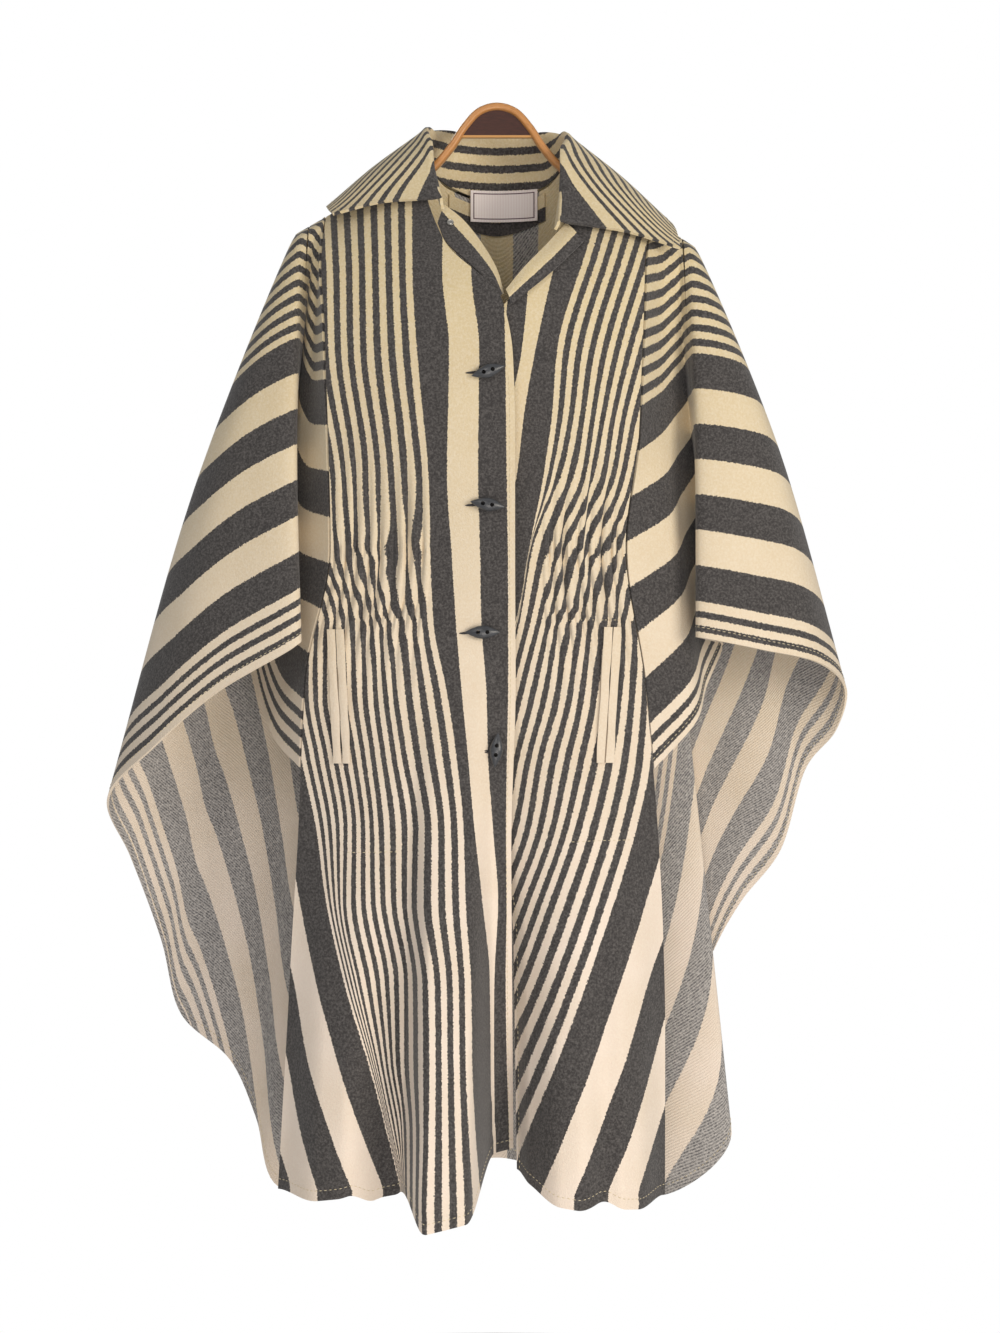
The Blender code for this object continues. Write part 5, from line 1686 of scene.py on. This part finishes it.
# %% Arch and arms
ARCH = table("out rise", (0, 31), (17.5, 26), (32, 11), (44, -7), (56, -22), (65, -31))
STRIP_HALF, STRIP_DEPTH_HALF = 4.0, 7.0
ARM_HALF, ARM_DEPTH_HALF = 6.0, 10.5
ARM_UNDER = 12.5  # from the ridge to the middle of the arm
ARM_START, ARM_END_IN, ARM_POINTS = 4, 15, 5  # from the neck to an arm, and from its end to the shoulder tip
WIDEN_FROM, WIDEN_OVER = 60, 40  # where the strip widens to the arm
ARCH_WIDE = 70  # the arch needs twice as many cells as the arms
STRIP_CORNER = 0.7  # 1 is an ellipse, and less is squarer
STRIP_FINE, STRIP_AROUND = 5, 41
BACKWARD = np.array([0.0, 1.0, 0.0])


def arch_points():
    return np.stack([ARCH["out"], np.zeros(len(ARCH["out"])), ARCH["rise"]], axis=1)


def hanger_rings():
    """Rings of the hanger's strip from the right arm's end, over the arch, to the left arm's end."""
    arms = {}
    for side, sign in SIDES.items():
        r = RIDGE[side]
        outs = np.linspace(r["neck_out"] + ARM_START, r["tip_out"] - ARM_END_IN, ARM_POINTS)
        arms[side] = np.array([(sign * out, 0, -ridge_drop(side, out) - ARM_UNDER) for out in outs])
    arch = arch_points()
    left_arch = np.concatenate([arch, arms["left"]])
    right_arch = np.concatenate([arch * (-1, 1, 1), arms["right"]])
    path = np.concatenate([right_arch[::-1], left_arch[1:]])
    path = through(path, [STRIP_FINE * (1 if abs(x) > ARCH_WIDE else 2) for x in path[1:, 0]])
    lean = np.gradient(path, axis=0)
    lean /= np.linalg.norm(lean, axis=1, keepdims=True)
    across = np.stack([-lean[:, 2], np.zeros(len(path)), lean[:, 0]], axis=1)
    widen = ease((np.abs(path[:, 0]) - WIDEN_FROM) / WIDEN_OVER)
    half = STRIP_HALF + (ARM_HALF - STRIP_HALF) * widen
    depth = STRIP_DEPTH_HALF + (ARM_DEPTH_HALF - STRIP_DEPTH_HALF) * widen
    rings = []
    for angle in np.linspace(0, 2 * math.pi, STRIP_AROUND):
        side_on = np.sign(math.cos(angle)) * abs(math.cos(angle)) ** STRIP_CORNER
        deep = np.sign(math.sin(angle)) * abs(math.sin(angle)) ** STRIP_CORNER
        sideways = across * (half * side_on)[:, None]
        rings.append(path + sideways + BACKWARD * (depth * deep)[:, None])
    return np.array(rings)


print("rings:", hanger_rings().shape[:2])

# %% [markdown]
# The rings become a tube: a grid is wrapped round, its two long edges are merged and its ends are filled.
# The grid's map keeps the distance along the strip, so that the grain bends with it, as steamed wood does.

# %% The bent strip
GIRTH_STEP = 2.0  # from one line of the grain's map to the next, round the strip


def closed_tube(name, rings):
    """A tube from a sheet whose first and last columns meet, with its ends filled."""
    around, along = rings.shape[:2]
    tube = flat_grid(name, around, along)
    column, row = grid_places(tube, around, along)
    tube.data.vertices.foreach_set("co", (rings[column, row] * MM).astype(np.float32).ravel())
    run = np.concatenate([[0], np.cumsum(np.linalg.norm(np.diff(rings.mean(axis=0), axis=0), axis=1))])
    set_threads(tube, np.stack([column * GIRTH_STEP, run[row]], axis=1))
    bpy.ops.object.mode_set(mode="EDIT")
    bpy.ops.mesh.select_all(action="SELECT")
    bpy.ops.mesh.remove_doubles(threshold=1e-6)
    bpy.ops.mesh.select_all(action="DESELECT")
    bpy.ops.mesh.select_non_manifold()
    bpy.ops.mesh.edge_face_add()
    bpy.ops.mesh.select_all(action="SELECT")
    bpy.ops.mesh.normals_make_consistent(inside=False)
    bpy.ops.object.mode_set(mode="OBJECT")
    return tube


frame_tube = closed_tube("hanger_strip", hanger_rings())
finished(settled(frame_tube, BEECH), "hanger_wood", "hanger_frame")

# %% [markdown]
# The panel is a thin board, sawn to the inside of the arch. A grid is shaped to that outline, thickened, and
# its edges are softened a little, as sandpaper does.

# %% Panel
PANEL_DEPTH, PANEL_SOFT = 6, 0.6
PANEL_IN = 1.0  # how far short of the middle of the strip the panel ends, inside its groove
PANEL_HALF, PANEL_COLUMNS, PANEL_ROWS, PANEL_FINE = 38, 41, 4, 3
PANEL_LEAST = 0.8  # its height at the two ends
ARCH_CELLS = (12, 12, 12, 9, 9)


def panel_sheet():
    """The D-shaped panel inside the arch, a flat plate up to the strip."""
    line = through(arch_points(), ARCH_CELLS)
    x = np.linspace(-PANEL_HALF, PANEL_HALF, PANEL_COLUMNS)
    top = np.interp(np.abs(x), line[:, 0], line[:, 2]) - PANEL_IN
    rows, flat = np.linspace(0, 1, PANEL_ROWS), np.zeros(PANEL_ROWS)
    return np.stack(
        [np.stack([flat + a, flat, rows * max(b, PANEL_LEAST)], axis=1) for a, b in zip(x, top)]
    )


def panel_plate():
    """The panel as a plate with softened edges."""
    points = finer(panel_sheet(), PANEL_FINE)
    plate = flat_grid("hanger_panel_plate", *points.shape[:2])
    column, row = grid_places(plate, *points.shape[:2])
    plate.data.vertices.foreach_set("co", (points[column, row] * MM).astype(np.float32).ravel())
    plate.data.update()
    body = plate.modifiers.new("Plate", "SOLIDIFY")
    body.thickness, body.offset = PANEL_DEPTH * MM, 0
    bpy.ops.object.modifier_apply(modifier=body.name)
    softened = plate.modifiers.new("Softened", "BEVEL")
    softened.width, softened.segments, softened.angle_limit = PANEL_SOFT * MM, 3, math.radians(50)
    bpy.ops.object.modifier_apply(modifier=softened.name)
    bpy.ops.object.mode_set(mode="EDIT")
    bpy.ops.mesh.select_all(action="SELECT")
    bpy.ops.mesh.normals_make_consistent(inside=False)
    bpy.ops.object.mode_set(mode="OBJECT")
    return settled(plate, PLYWOOD)


finished(panel_plate(), "panel_wood", "hanger_panel")

# %% [markdown]
# ## The cut
#
# A pattern cutter lays each piece flat on the cloth before sewing. The sizes here are those flat pieces,
# width by length, with the area of the cut where it isn't a full rectangle. The fronts and the back are
# longer and wider than they look, because gathers and folds take up cloth.


# %% Flat sizes of the cloth pieces
def sheet_area(sheet):
    """The area of a draped sheet in square metres."""
    across, down = np.diff(sheet, axis=0)[:, :-1], np.diff(sheet, axis=1)[:-1]
    return np.linalg.norm(np.cross(across, down), axis=-1).sum() * MM * MM


# Metres and square metres. held says how the piece hangs, and on is what it hangs from or lies on.
CUTS = table(
    "piece width length area held on",
    ("front_right", 0.36, 1.06, 0.265, "gathered", "hanger_frame"),
    ("front_left", 0.27, 1.06, 0.185, "gathered", "hanger_frame"),
    ("wing_front_right", 0.16, 0.58, 0.060, "hung", "hanger_frame"),
    ("wing_front_left", 0.15, 0.58, 0.055, "hung", "hanger_frame"),
    ("back", 1.164, 1.06, 0.800, "hung", "hanger_frame"),
    ("collar", 0.18, 0.46, 0.0655, "folded", "back_cloth"),
    ("facing_right", 0.028, 0.120, 0.0027, "folded", "front_right_cloth"),
    ("facing_left", 0.025, 0.110, 0.0023, "folded", "front_left_cloth"),
    ("facing_back", 0.026, 0.130, 0.0029, "laid", "back_cloth"),
    ("welt_right_outer", 0.010, 0.134, 0.0011, "laid", "front_right_cloth"),
    ("welt_right_inner", 0.010, 0.134, 0.0011, "laid", "front_right_cloth"),
    ("welt_left_outer", 0.010, 0.134, 0.0011, "laid", "front_left_cloth"),
    ("welt_left_inner", 0.010, 0.134, 0.0011, "laid", "front_left_cloth"),
    ("label", 0.032, 0.074, 0.00233, "laid", "facing_back_cloth"),
)
for place, width, length, area, held, on in zip(*CUTS.values()):
    print(place, "cut", area, "draped", round(sheet_area(SHEETS[place]), 5))

# %% [markdown]
# ## Stage
#
# The photograph is cut out on white and lit softly from the front and the right. A white studio gives the
# same look: the camera sees the world as white, and the cloth gets only a third of that light from it.

# %% Camera and studio
CAMERA_AWAY, CAMERA_X, CAMERA_Z, FRAME_HEIGHT = 2.6, 0.003, -0.5285, 1.333
camera_data = bpy.data.cameras.new("camera")
camera = bpy.data.objects.new("camera", camera_data)
bpy.context.scene.collection.objects.link(camera)
camera.location = (CAMERA_X, -CAMERA_AWAY, CAMERA_Z)
camera.rotation_euler = (math.radians(90), 0, 0)
camera_data.sensor_fit = "VERTICAL"
camera_data.angle = 2 * math.atan(FRAME_HEIGHT / 2 / CAMERA_AWAY)
bpy.context.scene.camera = camera
bpy.context.scene.view_settings.view_transform = "Standard"

world = bpy.data.worlds.new("white_studio")
world.use_nodes = True
tree = world.node_tree
seen = node(tree, "ShaderNodeLightPath").outputs["Is Camera Ray"]
WHITE_SEEN, WHITE_LIGHT = 1.0, 0.34
shown = {"Value": seen, "To Min": WHITE_LIGHT, "To Max": WHITE_SEEN}
glow = node(tree, "ShaderNodeMapRange", shown).outputs[0]
joined(tree, tree.nodes["Background"], {"Color": linear("#FFFFFF"), "Strength": glow})
bpy.context.scene.world = world
print("camera", CAMERA_AWAY, "m away, opening", round(math.degrees(camera_data.angle), 1), "degrees")

# %% [markdown]
# Large soft boxes give the broad light without hard shadows: the key from the right, a low fill and a small
# high one in front, and one behind for the views of the back.

# %% Soft boxes
AIM = Vector((0, 0, -0.55))
# Each soft box: place, size in metres, power in watts and colour.
SOFT_BOXES = {
    "key": ((1.9, -2.2, -0.2), 1.2, 38, "#FFF6E8"),
    "fill": ((0.3, -2.7, -1.5), 1.4, 24, "#FFF6EE"),
    "high": ((-0.9, -2.4, 0.9), 0.8, 9, "#FFF8F0"),
    "rear": ((-0.6, 2.4, 0.4), 1.8, 34, "#FFFFFF"),
}
for name, (place, size, power, colour) in SOFT_BOXES.items():
    light = bpy.data.lights.new(name, "AREA")
    light.size, light.energy, light.color = size, power, linear(colour)[:3]
    lamp = bpy.data.objects.new(name, light)
    lamp.location = place
    lamp.rotation_euler = (AIM - Vector(place)).to_track_quat("-Z", "Y").to_euler()
    bpy.context.scene.collection.objects.link(lamp)
print("soft boxes:", *SOFT_BOXES)

# %% [markdown]
# The pale floor lies below the picture's lower edge, and shows only when the camera moves up or round. It is
# part of the stage and not of the poncho.

# %% Floor
FLOOR_DROP, FLOOR_RADIUS = 1.42, 0.88
bpy.ops.object.select_all(action="DESELECT")
bpy.ops.mesh.primitive_circle_add(vertices=96, radius=FLOOR_RADIUS, fill_type="NGON")
floor = bpy.context.object
floor.location.z = -FLOOR_DROP
floor.name = "pale_floor"
floor_look, tree, shader = new_material("matt_pale_floor")
place = node(tree, "ShaderNodeTexCoord").outputs["Object"]
grit = node(tree, "ShaderNodeTexNoise", {"Vector": place, "Scale": 60.0, "Detail": 3.0}).outputs[0]
ends = {0: grit, 6: linear("#E6E3DE"), 7: linear("#F1EFEB")}
colour = node(tree, "ShaderNodeMix", ends, data_type="RGBA").outputs[2]
joined(tree, shader, {"Base Color": colour, "Roughness": 0.8})
floor.data.materials.append(floor_look)
print("floor", FLOOR_DROP, "m down")
